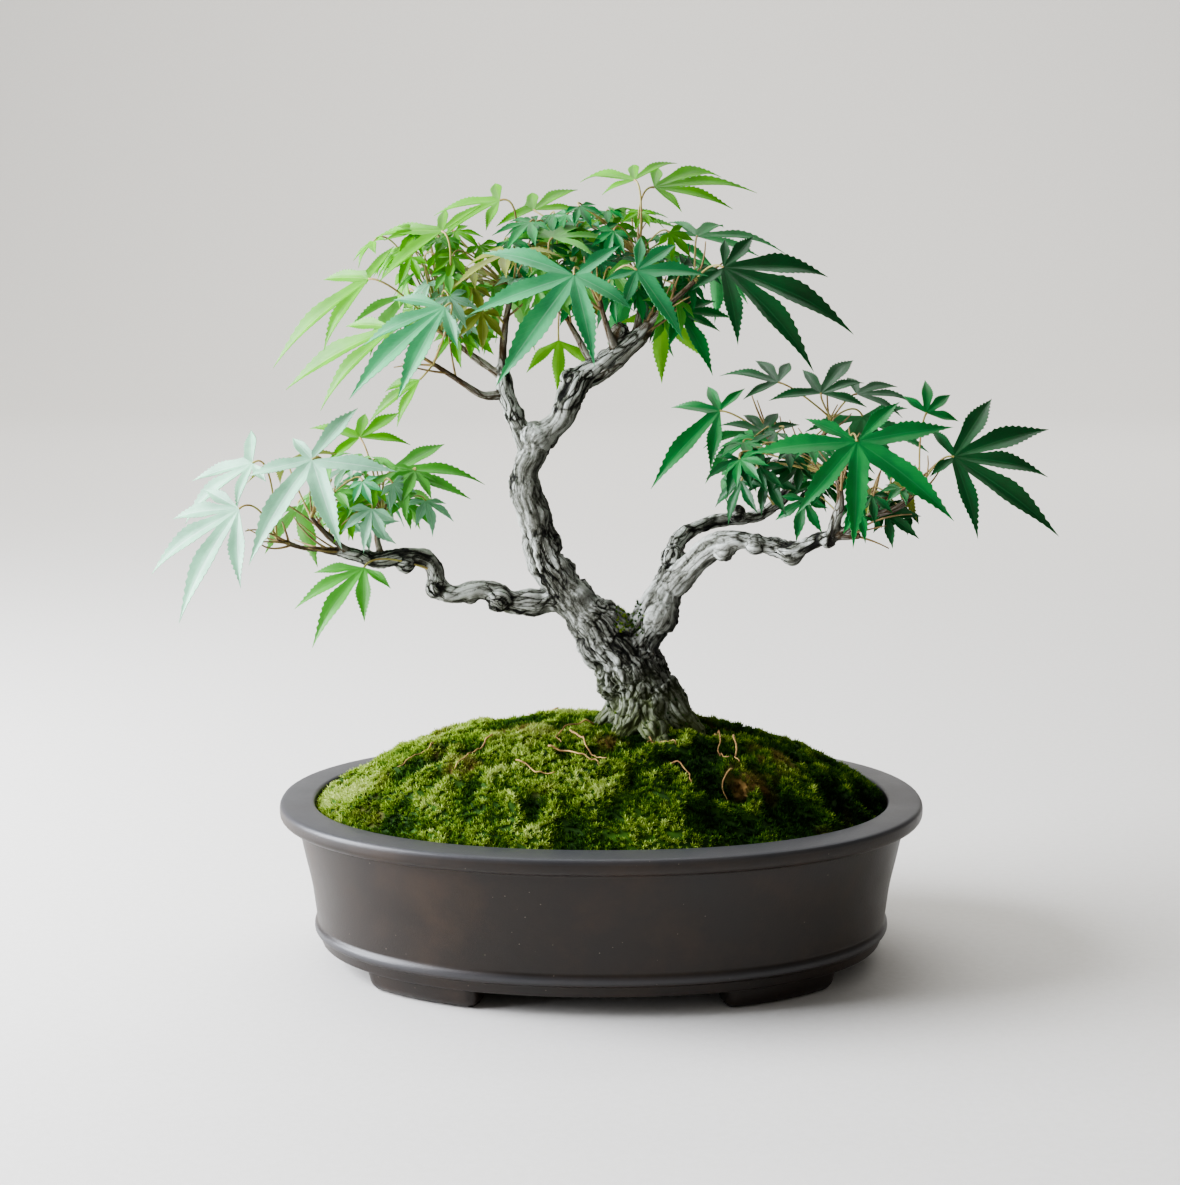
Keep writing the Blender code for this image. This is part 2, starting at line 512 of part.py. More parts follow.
def build_tube(name, points, finish, resolution):
    """A round tube through (x, y, z, thickness) points, with filled ends."""
    curve = bpy.data.curves.new(name, "CURVE")
    curve.dimensions = "3D"
    curve.bevel_depth = 0.5 * MM
    curve.bevel_resolution = resolution
    curve.use_fill_caps = True
    spline = curve.splines.new("POLY")
    spline.points.add(len(points) - 1)
    for target, (x, y, z, width) in zip(spline.points, points):
        target.co = (x * MM, y * MM, z * MM, 1.0)
        target.radius = width
    shape = bpy.data.objects.new(name, curve)
    bpy.context.scene.collection.objects.link(shape)
    graph = bpy.context.evaluated_depsgraph_get()
    mesh = bpy.data.meshes.new_from_object(shape.evaluated_get(graph))
    bpy.data.objects.remove(shape, do_unlink=True)
    bm = bmesh.new()
    bm.from_mesh(mesh)
    bmesh.ops.remove_doubles(bm, verts=bm.verts[:], dist=0.00001)
    bmesh.ops.recalc_face_normals(bm, faces=bm.faces[:])
    bm.to_mesh(mesh)
    bm.free()
    mesh.shade_smooth()
    return add_object(name, mesh, finish)


def build_tree():
    """Roots, trunk, limbs and twigs: one living piece."""
    tree = build_tube("trunk_and_branches", TRUNK, "bark", 4)
    for run in ROOTS:
        apply_boolean(tree, build_tube("root", run, "bark", 2), "UNION")
    for name, run in LIMBS.items():
        resolution = 2 if max(point[3] for point in run) > STOUT_LIMB else 1
        apply_boolean(tree, build_tube(name, run, "bark", resolution), "UNION")
    return tree


def build_root_threads():
    """Fine roots lying on the moss."""
    for name, route in ROOT_THREADS.items():
        points = [(x, y, moss_level(x, y) + ROOT_THREAD_LIFT, ROOT_THREAD_WIDTH) for x, y in route]
        build_tube(name, points, "root", 1)


# ---------------------------------------------------------------- leaves

def blade_axes(facing):
    """Level, upward and outward axes of a blade that faces a given way."""
    outward = Vector(facing).normalized()
    level = Vector((0.0, 0.0, 1.0)).cross(outward).normalized()
    return level, outward.cross(level), outward


def blade_outline(lobes):
    """Outline of the blade as (bearing, reach), and the petiole's bearing."""
    lobes = sorted(lobes)
    gaps = [(lobes[(i + 1) % len(lobes)][0] - lobes[i][0]) % 360 for i in range(len(lobes))]
    widest = gaps.index(max(gaps))
    lobes = lobes[widest + 1:] + lobes[:widest + 1]
    petiole = math.radians(lobes[-1][0] + gaps[widest] / 2.0)
    outline = []
    before = math.pi
    for index, (bearing, length) in enumerate(lobes):
        middle = math.radians(bearing)
        last = index + 1 == len(lobes)
        after = math.pi if last else math.radians((lobes[index + 1][0] - bearing) % 360)
        outline.append((middle - min(SHOULDER_TURN, SHOULDER_SHARE * before), SHOULDER_REACH * length))
        outline.append((middle, length))
        outline.append((middle + min(SHOULDER_TURN, SHOULDER_SHARE * after), SHOULDER_REACH * length))
        if not last:
            outline.append((middle + after / 2.0, SINUS_REACH * min(length, lobes[index + 1][1])))
        before = after
    return outline, petiole


def build_leaf(name, leaf, foot):
    """One leaf: a lobed blade and its petiole, grown as one closed piece."""
    level, upward, outward = blade_axes(leaf.facing)
    centre = Vector(leaf.at)
    outline, stalk_bearing = blade_outline(leaf.lobes)
    half = BLADE_THICKNESS / 2.0
    stalk = level * math.cos(stalk_bearing) + upward * math.sin(stalk_bearing)
    across = outward.cross(stalk)
    mouth = [centre + stalk * PETIOLE_WIDTH + across * side * PETIOLE_WIDTH / 2.0 for side in (1, -1)]
    longest = max(length for _, length in leaf.lobes)
    edge = []
    for bearing, reach in outline:
        flat = level * math.cos(bearing) + upward * math.sin(bearing)
        edge.append(centre + flat * reach - outward * (LOBE_DROOP * reach * reach / longest))
    if (mouth[0] - centre).cross(edge[0] - centre).dot(outward) <= 0.0:
        mouth.reverse()
    rim = [mouth[0]] + edge + [mouth[1]]
    bm = bmesh.new()
    upper = [bm.verts.new(point + outward * half) for point in rim]
    lower = [bm.verts.new(point - outward * half) for point in rim]
    top, bottom = bm.verts.new(centre + outward * half), bm.verts.new(centre - outward * half)
    for index in range(len(rim)):
        after = (index + 1) % len(rim)
        bm.faces.new((top, upper[index], upper[after]))
        bm.faces.new((bottom, lower[after], lower[index]))
        if after:
            bm.faces.new((upper[index], lower[index], lower[after], upper[after]))
    grow_petiole(bm, (upper[-1], lower[-1], lower[0], upper[0]), centre, foot, stalk)
    return add_object(name, mesh_from(bm, name), "leaf")


def grow_petiole(bm, mouth, centre, foot, stalk):
    """Carry the blade's mouth down a curve to the twig."""
    length = (foot - centre).length
    start = sum((vertex.co for vertex in mouth), Vector()) / 4.0
    bend = start + stalk * length * PETIOLE_BEND + Vector((0.0, 0.0, length * PETIOLE_RISE))
    ring = list(mouth)
    offsets = [vertex.co - start for vertex in mouth]
    steps = 4
    for step in range(1, steps + 1):
        share = step / steps
        middle = start * (1 - share) ** 2 + bend * 2 * share * (1 - share) + foot * share ** 2
        along = (bend - start) * (1 - share) + (foot - bend) * share
        turn = stalk.rotation_difference(along.normalized())
        fresh = [bm.verts.new(middle + turn @ offset) for offset in offsets]
        for index in range(4):
            after = (index + 1) % 4
            bm.faces.new((ring[index], ring[after], fresh[after], fresh[index]))
        ring = fresh
    bm.faces.new(ring)


def petiole_foot(leaf):
    """Where the petiole ends, just clear of its twig's tip."""
    if leaf.twig in OLD_WOOD_FOOT:
        return Vector(OLD_WOOD_FOOT[leaf.twig])
    *tip, width = LIMBS[leaf.twig][-1]
    side = Vector(leaf.at) - Vector(tip)
    side.z = 0.0
    clear = side.normalized() * (width / 2.0 + PETIOLE_CLEARANCE)
    return Vector(tip) + clear + Vector((0.0, 0.0, PETIOLE_LIFT))


def build_leaves():
    """Every leaf, each as its own piece."""
    for name, leaf in LEAVES.items():
        build_leaf(name, leaf, petiole_foot(leaf))


def main():
    """Build the bonsai from the pot up."""
    clear_scene()
    build_pot()
    for side, x in (("left", -DRAIN_X), ("right", DRAIN_X)):
        build_drainage_mesh("drainage_mesh_" + side, x)
        build_mesh_wire("mesh_wire_" + side, x)
    build_grit()
    build_soil()
    build_moss()
    build_tree()
    build_root_threads()
    build_leaves()


main()
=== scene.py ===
"""Looks of the maple bonsai in its oval stoneware pot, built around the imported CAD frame.

Every length in the tables is in millimetres and MM turns it to metres. X runs along the pot's long
side, -Y is the front and +Z is up. Each class models one sub-assembly and dresses it in its finish.
"""

import itertools
import logging
import math
from collections.abc import Callable
from dataclasses import dataclass, field
from enum import Enum, IntEnum

import bpy
import numpy as np
from mathutils import Matrix, Vector
from mathutils.kdtree import KDTree


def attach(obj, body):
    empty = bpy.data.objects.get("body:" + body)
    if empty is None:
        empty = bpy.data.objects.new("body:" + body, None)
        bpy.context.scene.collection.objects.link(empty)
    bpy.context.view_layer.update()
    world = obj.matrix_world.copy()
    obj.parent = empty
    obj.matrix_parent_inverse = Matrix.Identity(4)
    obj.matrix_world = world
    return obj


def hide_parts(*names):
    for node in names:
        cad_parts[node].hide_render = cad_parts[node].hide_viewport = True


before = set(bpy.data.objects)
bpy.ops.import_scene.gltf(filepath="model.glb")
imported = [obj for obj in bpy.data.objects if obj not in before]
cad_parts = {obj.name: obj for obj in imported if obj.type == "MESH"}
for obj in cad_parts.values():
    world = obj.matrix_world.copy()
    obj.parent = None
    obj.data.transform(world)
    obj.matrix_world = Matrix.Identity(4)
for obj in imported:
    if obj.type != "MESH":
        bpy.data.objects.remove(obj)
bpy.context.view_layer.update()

LOG = logging.getLogger("bonsai")
MM = 0.001
BODY = "root"

# ---------------------------------------------------------------- plans shared with the CAD

OVAL_HALF_LENGTH = 150.0
OVAL_HALF_WIDTH = 113.0
OVAL_POWER = 2.15
RIM_WIDTH = 16.0
MOSS_EDGE = 74.5
MOUND_RISE = 38.0
MOUND_POWER = 2.4

# The trunk from root crown to upper fork, and each limb from its parent to its tip, as
# (x, y, z, thickness)
TRUNK = ((24, 2, 84, 40), (24, 1, 100, 44), (22, 0, 112, 39), (18, 0, 126, 34), (12, 0, 139, 30),
         (2, 0, 152, 27), (-8, 0, 163, 21.5), (-19, 0, 177, 17.5), (-26, 0, 191, 16.5),
         (-30, 0, 204, 15.6), (-34, 0, 217, 14.7), (-34, 0, 230, 13.5), (-30, 0, 244, 12))
LIMBS = {
    "limb_top_right": ((-31, 0, 240, 12), (-20, 0, 252, 12), (-15, -2, 261, 11), (-10, -3, 271, 10),
                       (0, -4, 279, 8), (14, -5, 289, 6), (21, -6, 295, 4)),
    "limb_top_twin": ((-10, 2, 267, 6), (1, 7, 272, 5.2), (11, 9, 280, 5), (19, 10, 288, 4.4),
                      (25, 11, 297, 3)),
    "limb_top_left": ((-33, 0, 236, 10), (-40, 2, 255, 8), (-44, 3, 267, 7), (-45, 4, 278, 4.6),
                      (-44, 6, 295, 3.2), (-41, 8, 310, 2.4)),
    "limb_left": ((-18, 0, 170, 13), (-39, -1, 167, 11), (-48, -2, 172, 10), (-58, -3, 174, 9.6),
                  (-67, -3, 172, 9), (-75, -2, 174, 9), (-77, -2, 182, 8), (-82, -2, 188, 8),
                  (-91, -3, 190, 7.4), (-101, -4, 188, 7), (-109, -5, 189, 6.4), (-119, -6, 192, 5),
                  (-128, -8, 193, 3)),
    "limb_right": ((13, 0, 140, 22), (22, 0, 156, 18), (28, 0, 167, 16.5), (34, 0, 182, 14)),
    "limb_right_back": ((32, 1, 174, 10), (34, 10, 188, 8.5), (38, 19, 195, 7.6), (46, 24, 199, 7),
                        (55, 28, 202, 6.6), (65, 30, 203, 6.6), (75, 32, 204, 6.2),
                        (83, 34, 208, 6),
                        (89, 36, 215, 5.7), (93, 38, 223, 5), (99, 40, 233, 3.6)),
    "limb_right_front": ((30, -1, 172, 14), (42, -5, 186, 12), (50, -10, 194, 10.5),
                         (62, -14, 198, 9),
                         (71, -16, 197, 8), (80, -18, 196, 7.8), (86, -20, 194, 8),
                         (93, -22, 197, 7),
                         (101, -24, 201, 6.4), (108, -26, 202, 4.4), (116, -28, 202, 2.6)),
    "dead_stub": ((91, 37, 219, 4.6), (84, 44, 227, 4.6), (76, 48, 223, 5), (65, 51, 217, 4)),
    "twig_top_far_left": ((-43, 3, 264, 5), (-54, 0, 263, 4), (-66, -4, 271, 3),
                          (-76, -8, 278, 2.2)),
    "twig_top_left": ((-44, 3, 270, 4.4), (-59, 6, 281, 3.2), (-73, 8, 291, 2.2)),
    "twig_top_crown": ((15, -5, 290, 4.4), (18, -2, 308, 3), (17, 6, 326, 2.2)),
    "twig_top_front": ((6, -5, 284, 4.4), (2, -12, 296, 3), (-1, -19, 307, 2.2)),
    "twig_top_right": ((18, -6, 293, 4), (31, -7, 305, 3), (42, -5, 315, 2.2)),
    "twig_top_back": ((22, 10, 293, 3.6), (30, 19, 304, 2.8), (35, 28, 313, 2.2)),
    "twig_top_middle": ((-3, -4, 276, 4.4), (-12, 5, 291, 3), (-19, 13, 304, 2.2)),
    "twig_left_front": ((-115, -5, 191, 4), (-124, -14, 200, 3), (-131, -22, 210, 2.2)),
    "twig_left_end": ((-124, -7, 193, 3.2), (-137, -14, 195, 2.6), (-147, -20, 200, 2.2)),
    "twig_left_back": ((-101, -4, 189, 4), (-104, 4, 198, 3), (-102, 10, 208, 2.2)),
    "twig_right_up": ((103, -25, 201, 5.4), (106, -27, 212, 5), (107, -28, 220, 3.6),
                      (105, -28, 229, 2.4)),
    "twig_right_middle": ((106, -26, 202, 4.6), (119, -27, 211, 3.8), (128, -29, 221, 2.4)),
    "twig_right_end": ((116, -27, 209, 3.4), (133, -26, 215, 3), (143, -23, 223, 2.2)),
    "twig_back_inner": ((94, 38, 224, 3.6), (86, 40, 235, 2.8), (77, 40, 243, 2.2)),
    "twig_back_outer": ((97, 40, 230, 3.6), (105, 36, 241, 2.8), (109, 31, 250, 2.2)),
}
# Swellings of the trunk's foot where main roots leave it, as (x, y, z, thickness)
BUTTRESSES = (
    ((26, -6, 128, 20), (35, -9, 114, 16), (46, -12, 103, 10)),
    ((16, -8, 124, 18), (12, -15, 114, 14), (7, -22, 105, 9)),
    ((13, 2, 128, 17), (7, 3, 116, 13), (-1, 4, 105, 8)),
    ((28, 8, 126, 18), (34, 18, 114, 14), (41, 28, 103, 9)),
    ((22, -12, 122, 14), (24, -20, 111, 12), (29, -28, 103, 8)),
)
# Rounded lumps of callused wood, as (x, y, z, thickness)
BURLS = (
    (-30, 0, 243, 16.5), (-47, -3, 170, 12), (-76, -3, 175, 11), (-21, 0, 170, 14.5),
    (34, 4, 188, 11),
    (70, -17, 197, 10), (86, -20, 193, 10), (-12, -3, 270, 12), (12, -2, 133, 28),
    (27, -3, 162, 18.5),
    (-40, 2, 254, 9.5), (92, 38, 217, 7.5), (102, -25, 200, 8), (-108, -5, 189, 7.5),
    (-60, -3, 172, 9.5),
    (56, -14, 194, 10.5), (8, -4, 292, 8.5), (64, 22, 206, 8.5), (2, 0, 280, 9.5),
    (-90, -4, 186, 9),
    (84, 44, 227, 6), (76, 48, 223, 7.2), (68, 50.5, 218, 6.2),
)


class Seed(IntEnum):
    """Which lattice of random numbers each part of the growth is read from."""

    GIRTH = 5
    COURSE = 11
    FIBRES = 21
    FLUTES = 22
    PLATES = 23
    CRUMBS = 24
    SWAY = 25
    LUMPS = 28
    SMALL_LUMPS = 29
    KNOTS = 30
    CUSHIONS = 31
    TUFTS = 32
    SWELLS = 33
    DRY_EDGE = 41
    DRY_SHOOTS = 42
    SUNLIGHT = 44
    SHOOT_TURNS = 50
    TRUNK_MOSS = 61
    TRUNK_MOSS_TURNS = 70
    ROOT_KINK_X = 81
    ROOT_KINK_Y = 82


class Tone(Enum):
    """How a leaf is coloured: by its age, and partly by painted light and shade, pale on the window
    side and deep on the shaded right.
    """

    SPRING = "spring"
    MINT = "mint"
    PALE = "pale"
    SOFT = "soft"
    FRESH = "fresh"
    DEEP = "deep"
    OLIVE = "olive"


@dataclass(frozen=True)
class LeafPlan:
    """Where one leaf grows and how its blade is cut.

    The blade meets its petiole at `at` and its upper side faces `facing`. Each lobe is (bearing in
    degrees from the blade's level line, length). The petiole grows from the tip of `twig`.
    """

    at: tuple[float, float, float]
    facing: tuple[float, float, float]
    lobes: tuple[tuple[float, float], ...]
    twig: str
    tone: Tone


LEAVES = {
    "leaf_left_01": LeafPlan(
        (-127, -45, 238), (-.15, -.75, .65),
        ((135, 18), (65, 35), (-5, 38), (-65, 46), (-115, 54), (-165, 30)),
        "twig_left_front", Tone.PALE),
    "leaf_left_02": LeafPlan(
        (-157, -20, 234), (-.4, -.6, .7),
        ((125, 26), (-165, 36), (-135, 42), (-85, 24), (-35, 16)),
        "twig_left_end", Tone.PALE),
    "leaf_left_03": LeafPlan(
        (-160, -42, 216), (-.3, -.75, .6),
        ((155, 24), (-175, 36), (-145, 50), (-110, 56), (-75, 38)),
        "twig_left_end", Tone.PALE),
    "leaf_left_04": LeafPlan(
        (-95, 2, 228), (.1, -.5, .85),
        ((45, 39), (5, 43), (-25, 37), (-85, 32), (-145, 31), (120, 18)),
        "twig_left_back", Tone.SOFT),
    "leaf_left_05": LeafPlan(
        (-113, 22, 242), (.1, -.6, .75),
        ((80, 20), (45, 30), (0, 24), (150, 26), (-140, 20)),
        "twig_left_back", Tone.SPRING),
    "leaf_left_06": LeafPlan(
        (-108, -16, 186), (-.1, -.6, .75),
        ((-175, 24), (-145, 36), (-115, 44), (-80, 30), (-35, 18)),
        "limb_left_fork", Tone.SOFT),
    "leaf_left_07": LeafPlan(
        (-97, 26, 218), (-.1, .6, .7),
        ((-150, 24), (-115, 32), (-80, 34), (-35, 24)),
        "twig_left_back", Tone.SOFT),
    "leaf_left_08": LeafPlan(
        (-143, 2, 234), (-.3, .2, .95),
        ((150, 26), (-170, 32), (-120, 28), (-70, 24), (105, 18)),
        "twig_left_front", Tone.OLIVE),
    "leaf_left_09": LeafPlan(
        (-141, 12, 211), (-.3, .7, .6),
        ((160, 22), (-155, 32), (-110, 38), (-65, 30), (-20, 20)),
        "twig_left_back", Tone.SOFT),
    "leaf_crown_01": LeafPlan(
        (15, 4, 360), (-.2, -.5, .8),
        ((160, 35), (-150, 16), (60, 25), (110, 18)),
        "twig_top_crown", Tone.SPRING),
    "leaf_crown_02": LeafPlan(
        (24, 10, 357), (.1, -.5, .8),
        ((75, 22), (35, 48), (15, 55), (-15, 37), (-60, 20)),
        "twig_top_crown", Tone.SPRING),
    "leaf_crown_03": LeafPlan(
        (-46, 4, 351), (-.2, -.5, .8),
        ((120, 20), (-175, 34), (-135, 32), (-90, 20)),
        "limb_top_left", Tone.SPRING),
    "leaf_crown_04": LeafPlan(
        (-31, 20, 347), (0, -.5, .8),
        ((95, 20), (55, 34), (10, 24), (-150, 20)),
        "twig_top_crown", Tone.SPRING),
    "leaf_crown_05": LeafPlan(
        (9, 38, 342), (0, .3, .9),
        ((175, 28), (130, 34), (85, 36), (40, 32), (-10, 26)),
        "twig_top_crown", Tone.SOFT),
    "leaf_crown_06": LeafPlan(
        (-26, 36, 331), (-.2, .5, .8),
        ((-150, 26), (170, 30), (130, 38), (85, 34), (40, 26)),
        "limb_top_left", Tone.SOFT),
    "leaf_far_left_01": LeafPlan(
        (-71, -14, 337), (-.3, -.6, .75),
        ((175, 41), (-130, 36), (60, 22), (110, 18)),
        "twig_top_left", Tone.SPRING),
    "leaf_far_left_02": LeafPlan(
        (-104, -14, 316), (-.4, -.6, .7),
        ((85, 22), (175, 30), (-130, 58), (-105, 38)),
        "twig_top_left", Tone.SPRING),
    "leaf_far_left_03": LeafPlan(
        (-95, 6, 294), (-.4, -.6, .7),
        ((175, 32), (-150, 62), (-120, 50), (-80, 26)),
        "twig_top_left", Tone.SPRING),
    "leaf_far_left_04": LeafPlan(
        (-69, -32, 304), (-.2, -.7, .65),
        ((165, 28), (-155, 40), (-130, 58), (-105, 48), (-65, 24)),
        "twig_top_far_left", Tone.MINT),
    "leaf_far_left_05": LeafPlan(
        (-90, 34, 309), (-.4, .5, .8),
        ((150, 24), (-150, 24), (-120, 34), (-80, 38), (-35, 32)),
        "twig_top_left", Tone.SOFT),
    "leaf_far_left_06": LeafPlan(
        (-82, -10, 271), (-.3, -.5, .5),
        ((-135, 30), (-165, 20), (-100, 24)),
        "twig_top_far_left", Tone.SPRING),
    "leaf_top_01": LeafPlan(
        (-12, -50, 318), (0, -.8, .6),
        ((155, 44), (-160, 48), (-122, 60), (-78, 43), (-30, 30), (40, 27)),
        "twig_top_front", Tone.MINT),
    "leaf_top_02": LeafPlan(
        (15, -44, 320), (.2, -.8, .55),
        ((75, 20), (38, 27), (3, 34), (-62, 36), (-115, 20), (-165, 15)),
        "twig_top_front", Tone.MINT),
    "leaf_top_03": LeafPlan(
        (54, -20, 321), (.2, -.75, .6),
        ((75, 18), (45, 27), (5, 54), (-22, 66), (-52, 60), (-88, 38), (-145, 20)),
        "twig_top_right", Tone.DEEP),
    "leaf_top_04": LeafPlan(
        (44, 18, 335), (.1, -.4, .9),
        ((50, 31), (5, 46), (-30, 30), (105, 26), (165, 20)),
        "twig_top_right", Tone.FRESH),
    "leaf_top_05": LeafPlan(
        (36, 4, 301), (.1, -.7, .6),
        ((25, 20), (-2, 25), (-28, 20), (-68, 34), (-110, 20)),
        "twig_top_right", Tone.FRESH),
    "leaf_top_06": LeafPlan(
        (28, 26, 298), (0, .8, .5),
        ((-90, 34), (-50, 30), (-135, 30), (-5, 20), (-175, 20)),
        "twig_top_back", Tone.SPRING),
    "leaf_top_07": LeafPlan(
        (-20, 34, 287), (0, .8, .5),
        ((-90, 26), (-45, 22), (-140, 22)),
        "twig_top_middle", Tone.SPRING),
    "leaf_top_08": LeafPlan(
        (54, 46, 320), (.4, .5, .8),
        ((70, 30), (25, 40), (-20, 42), (-65, 36), (-110, 24)),
        "twig_top_back", Tone.FRESH),
    "leaf_top_09": LeafPlan(
        (14, 54, 312), (0, .8, .6),
        ((150, 26), (-165, 36), (-120, 44), (-75, 44), (-30, 34), (15, 26)),
        "twig_top_back", Tone.FRESH),
    "leaf_top_10": LeafPlan(
        (-46, 46, 317), (-.1, .75, .6),
        ((165, 26), (-155, 32), (-115, 42), (-80, 44), (-40, 30)),
        "twig_top_middle", Tone.SOFT),
    "leaf_top_11": LeafPlan(
        (-42, -26, 327), (-.2, -.3, .9),
        ((150, 20), (-160, 20), (-110, 30), (20, 26), (-60, 22)),
        "limb_top_left", Tone.OLIVE),
    "leaf_top_12": LeafPlan(
        (-22, -14, 334), (0, -.35, .9),
        ((170, 24), (120, 26), (60, 30), (15, 30), (-35, 24)),
        "twig_top_middle", Tone.SOFT),
    "leaf_right_01": LeafPlan(
        (110, -58, 247), (0, -.85, .5),
        ((150, 25), (-178, 47), (-130, 42), (-93, 47), (-37, 53), (13, 44), (48, 29)),
        "twig_right_up", Tone.FRESH),
    "leaf_right_02": LeafPlan(
        (158, -22, 237), (.1, -.8, .6),
        ((115, 19), (55, 44), (22, 54), (-5, 46), (-38, 58), (-80, 39), (-145, 15)),
        "twig_right_end", Tone.DEEP),
    "leaf_right_03": LeafPlan(
        (57, 44, 253), (-.2, -.7, .7),
        ((170, 26), (-125, 50), (-90, 32), (60, 18), (120, 20)),
        "twig_back_inner", Tone.FRESH),
    "leaf_right_04": LeafPlan(
        (102, 16, 263), (0, -.6, .75),
        ((110, 21), (60, 37), (30, 25), (-15, 22), (180, 24)),
        "twig_back_outer", Tone.DEEP),
    "leaf_right_05": LeafPlan(
        (84, 36, 267), (0, -.5, .8),
        ((150, 31), (70, 22), (110, 26), (-150, 20)),
        "twig_back_outer", Tone.DEEP),
    "leaf_right_06": LeafPlan(
        (149, 2, 255), (.1, -.8, .5),
        ((80, 20), (40, 18), (-10, 16), (135, 14)),
        "twig_right_end", Tone.FRESH),
    "leaf_right_07": LeafPlan(
        (76, 16, 245), (0, -.5, .8),
        ((150, 24), (115, 22), (70, 22), (-160, 20), (30, 20)),
        "twig_back_inner", Tone.DEEP),
    "leaf_right_08": LeafPlan(
        (134, -12, 226), (0, -.7, .7),
        ((-70, 22), (-120, 18), (-25, 16)),
        "twig_right_middle", Tone.OLIVE),
    "leaf_right_09": LeafPlan(
        (120, 28, 262), (.1, -.4, .85),
        ((80, 22), (30, 31), (0, 34), (-40, 24)),
        "twig_back_outer", Tone.DEEP),
    "leaf_right_10": LeafPlan(
        (126, 52, 250), (.3, .7, .6),
        ((160, 26), (-150, 36), (-105, 42), (-60, 40), (-15, 30)),
        "twig_back_outer", Tone.DEEP),
    "leaf_right_11": LeafPlan(
        (72, 62, 242), (-.2, .75, .6),
        ((165, 20), (-150, 28), (-105, 38), (-60, 34), (-15, 24)),
        "twig_back_inner", Tone.FRESH),
}
LOW_LEAF_FOOT = (-80.0, -5.0, 184.0)   # the low left leaf grows straight from the old limb


# ---------------------------------------------------------------- shared helpers

def linear(hex_colour: str, alpha: float = 1.0) -> tuple[float, float, float, float]:
    """Turn an sRGB hex colour to the linear values that shaders take.

    Args:
        hex_colour: Six hex digits, with or without a leading #.
        alpha: Opacity to append.

    Returns:
        Red, green, blue and alpha.
    """
    digits = hex_colour.lstrip("#")
    values = [int(digits[i:i + 2], 16) / 255.0 for i in (0, 2, 4)]
    red, green, blue = (v / 12.92 if v <= 0.04045 else ((v + 0.055) / 1.055) ** 2.4 for v in values)
    return red, green, blue, alpha


def add_node(tree: bpy.types.NodeTree, kind: str, settings: dict | None = None,
             links: dict | None = None) -> bpy.types.Node:
    """Add one shader node.

    Args:
        tree: The material's node tree.
        kind: Blender's name for the node type.
        settings: Input defaults (by socket name or number) and node properties (by name).
        links: Output sockets to plug in, by input name or number.

    Returns:
        The new node.
    """
    node = tree.nodes.new(kind)
    for key, value in (settings or {}).items():
        if isinstance(key, int) or key in node.inputs:
            node.inputs[key].default_value = value
        else:
            setattr(node, key, value)
    for key, socket in (links or {}).items():
        tree.links.new(socket, node.inputs[key])
    return node


def ramp(tree: bpy.types.NodeTree, source: bpy.types.NodeSocket,
         stops: tuple[tuple[float, str], ...]) -> bpy.types.NodeSocket:
    """Colour a value through a ramp of hex colours.

    Args:
        tree: The material's node tree.
        source: The value that runs along the ramp.
        stops: (place from 0 to 1, hex colour) pairs in order.

    Returns:
        The ramp's colour output.
    """
    node = add_node(tree, "ShaderNodeValToRGB", links={0: source})
    elements = node.color_ramp.elements
    while len(elements) < len(stops):
        elements.new(0.5)
    for element, (place, colour) in zip(elements, stops):
        element.position = place
        element.color = linear(colour)
    return node.outputs["Color"]


def new_material(name: str) -> tuple[bpy.types.Material, bpy.types.NodeTree, bpy.types.Node,
                                     bpy.types.Node]:
    """Start a node material.

    Args:
        name: What the material is.

    Returns:
        The material, its tree, its Principled shader and its output node.
    """
    made = bpy.data.materials.new(name)
    made.use_nodes = True
    tree = made.node_tree
    return made, tree, tree.nodes["Principled BSDF"], tree.nodes["Material Output"]


def deselect() -> None:
    """Leave edit mode and select nothing."""
    if bpy.context.mode != "OBJECT":
        bpy.ops.object.mode_set(mode="OBJECT")
    bpy.ops.object.select_all(action="DESELECT")


def activate(piece: bpy.types.Object) -> bpy.types.Object:
    """Select one object alone and make it active.

    Args:
        piece: The object to work on.

    Returns:
        The same object.
    """
    deselect()
    piece.select_set(True)
    bpy.context.view_layer.objects.active = piece
    return piece


def join(pieces: list[bpy.types.Object], name: str) -> bpy.types.Object:
    """Join objects into one.

    Args:
        pieces: The objects; the first keeps its place and materials.
        name: The joined object's name.

    Returns:
        The joined object.
    """
    activate(pieces[0])
    for piece in pieces[1:]:
        piece.select_set(True)
    if len(pieces) > 1:
        bpy.ops.object.join()
    pieces[0].name = name
    pieces[0].data.name = name
    return pieces[0]


def apply_modifier(piece: bpy.types.Object, kind: str, **settings: object) -> None:
    """Add a modifier with its settings and apply it.

    Args:
        piece: The object to change.
        kind: Blender's modifier type.
        **settings: The modifier's properties.
    """
    activate(piece)
    modifier = piece.modifiers.new(kind.title(), kind)
    for key, value in settings.items():
        setattr(modifier, key, value)
    bpy.ops.object.modifier_apply(modifier=modifier.name)


def close_and_orient(piece: bpy.types.Object, merge: float = 0.00001) -> None:
    """Merge doubled vertices and turn all faces outwards.

    Args:
        piece: The mesh to mend.
        merge: Vertices nearer than this are merged, in metres.
    """
    activate(piece)
    bpy.ops.object.mode_set(mode="EDIT")
    bpy.ops.mesh.select_all(action="SELECT")
    bpy.ops.mesh.remove_doubles(threshold=merge)
    bpy.ops.mesh.normals_make_consistent(inside=False)
    bpy.ops.object.mode_set(mode="OBJECT")


def dress(piece: bpy.types.Object, materials: list[bpy.types.Material]) -> None:
    """Give a piece its materials and let it ride on the pot's body.

    Args:
        piece: The object to finish.
        materials: Its materials, in slot order.
    """
    piece.data.materials.clear()
    for one in materials:
        piece.data.materials.append(one)
    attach(piece, BODY)


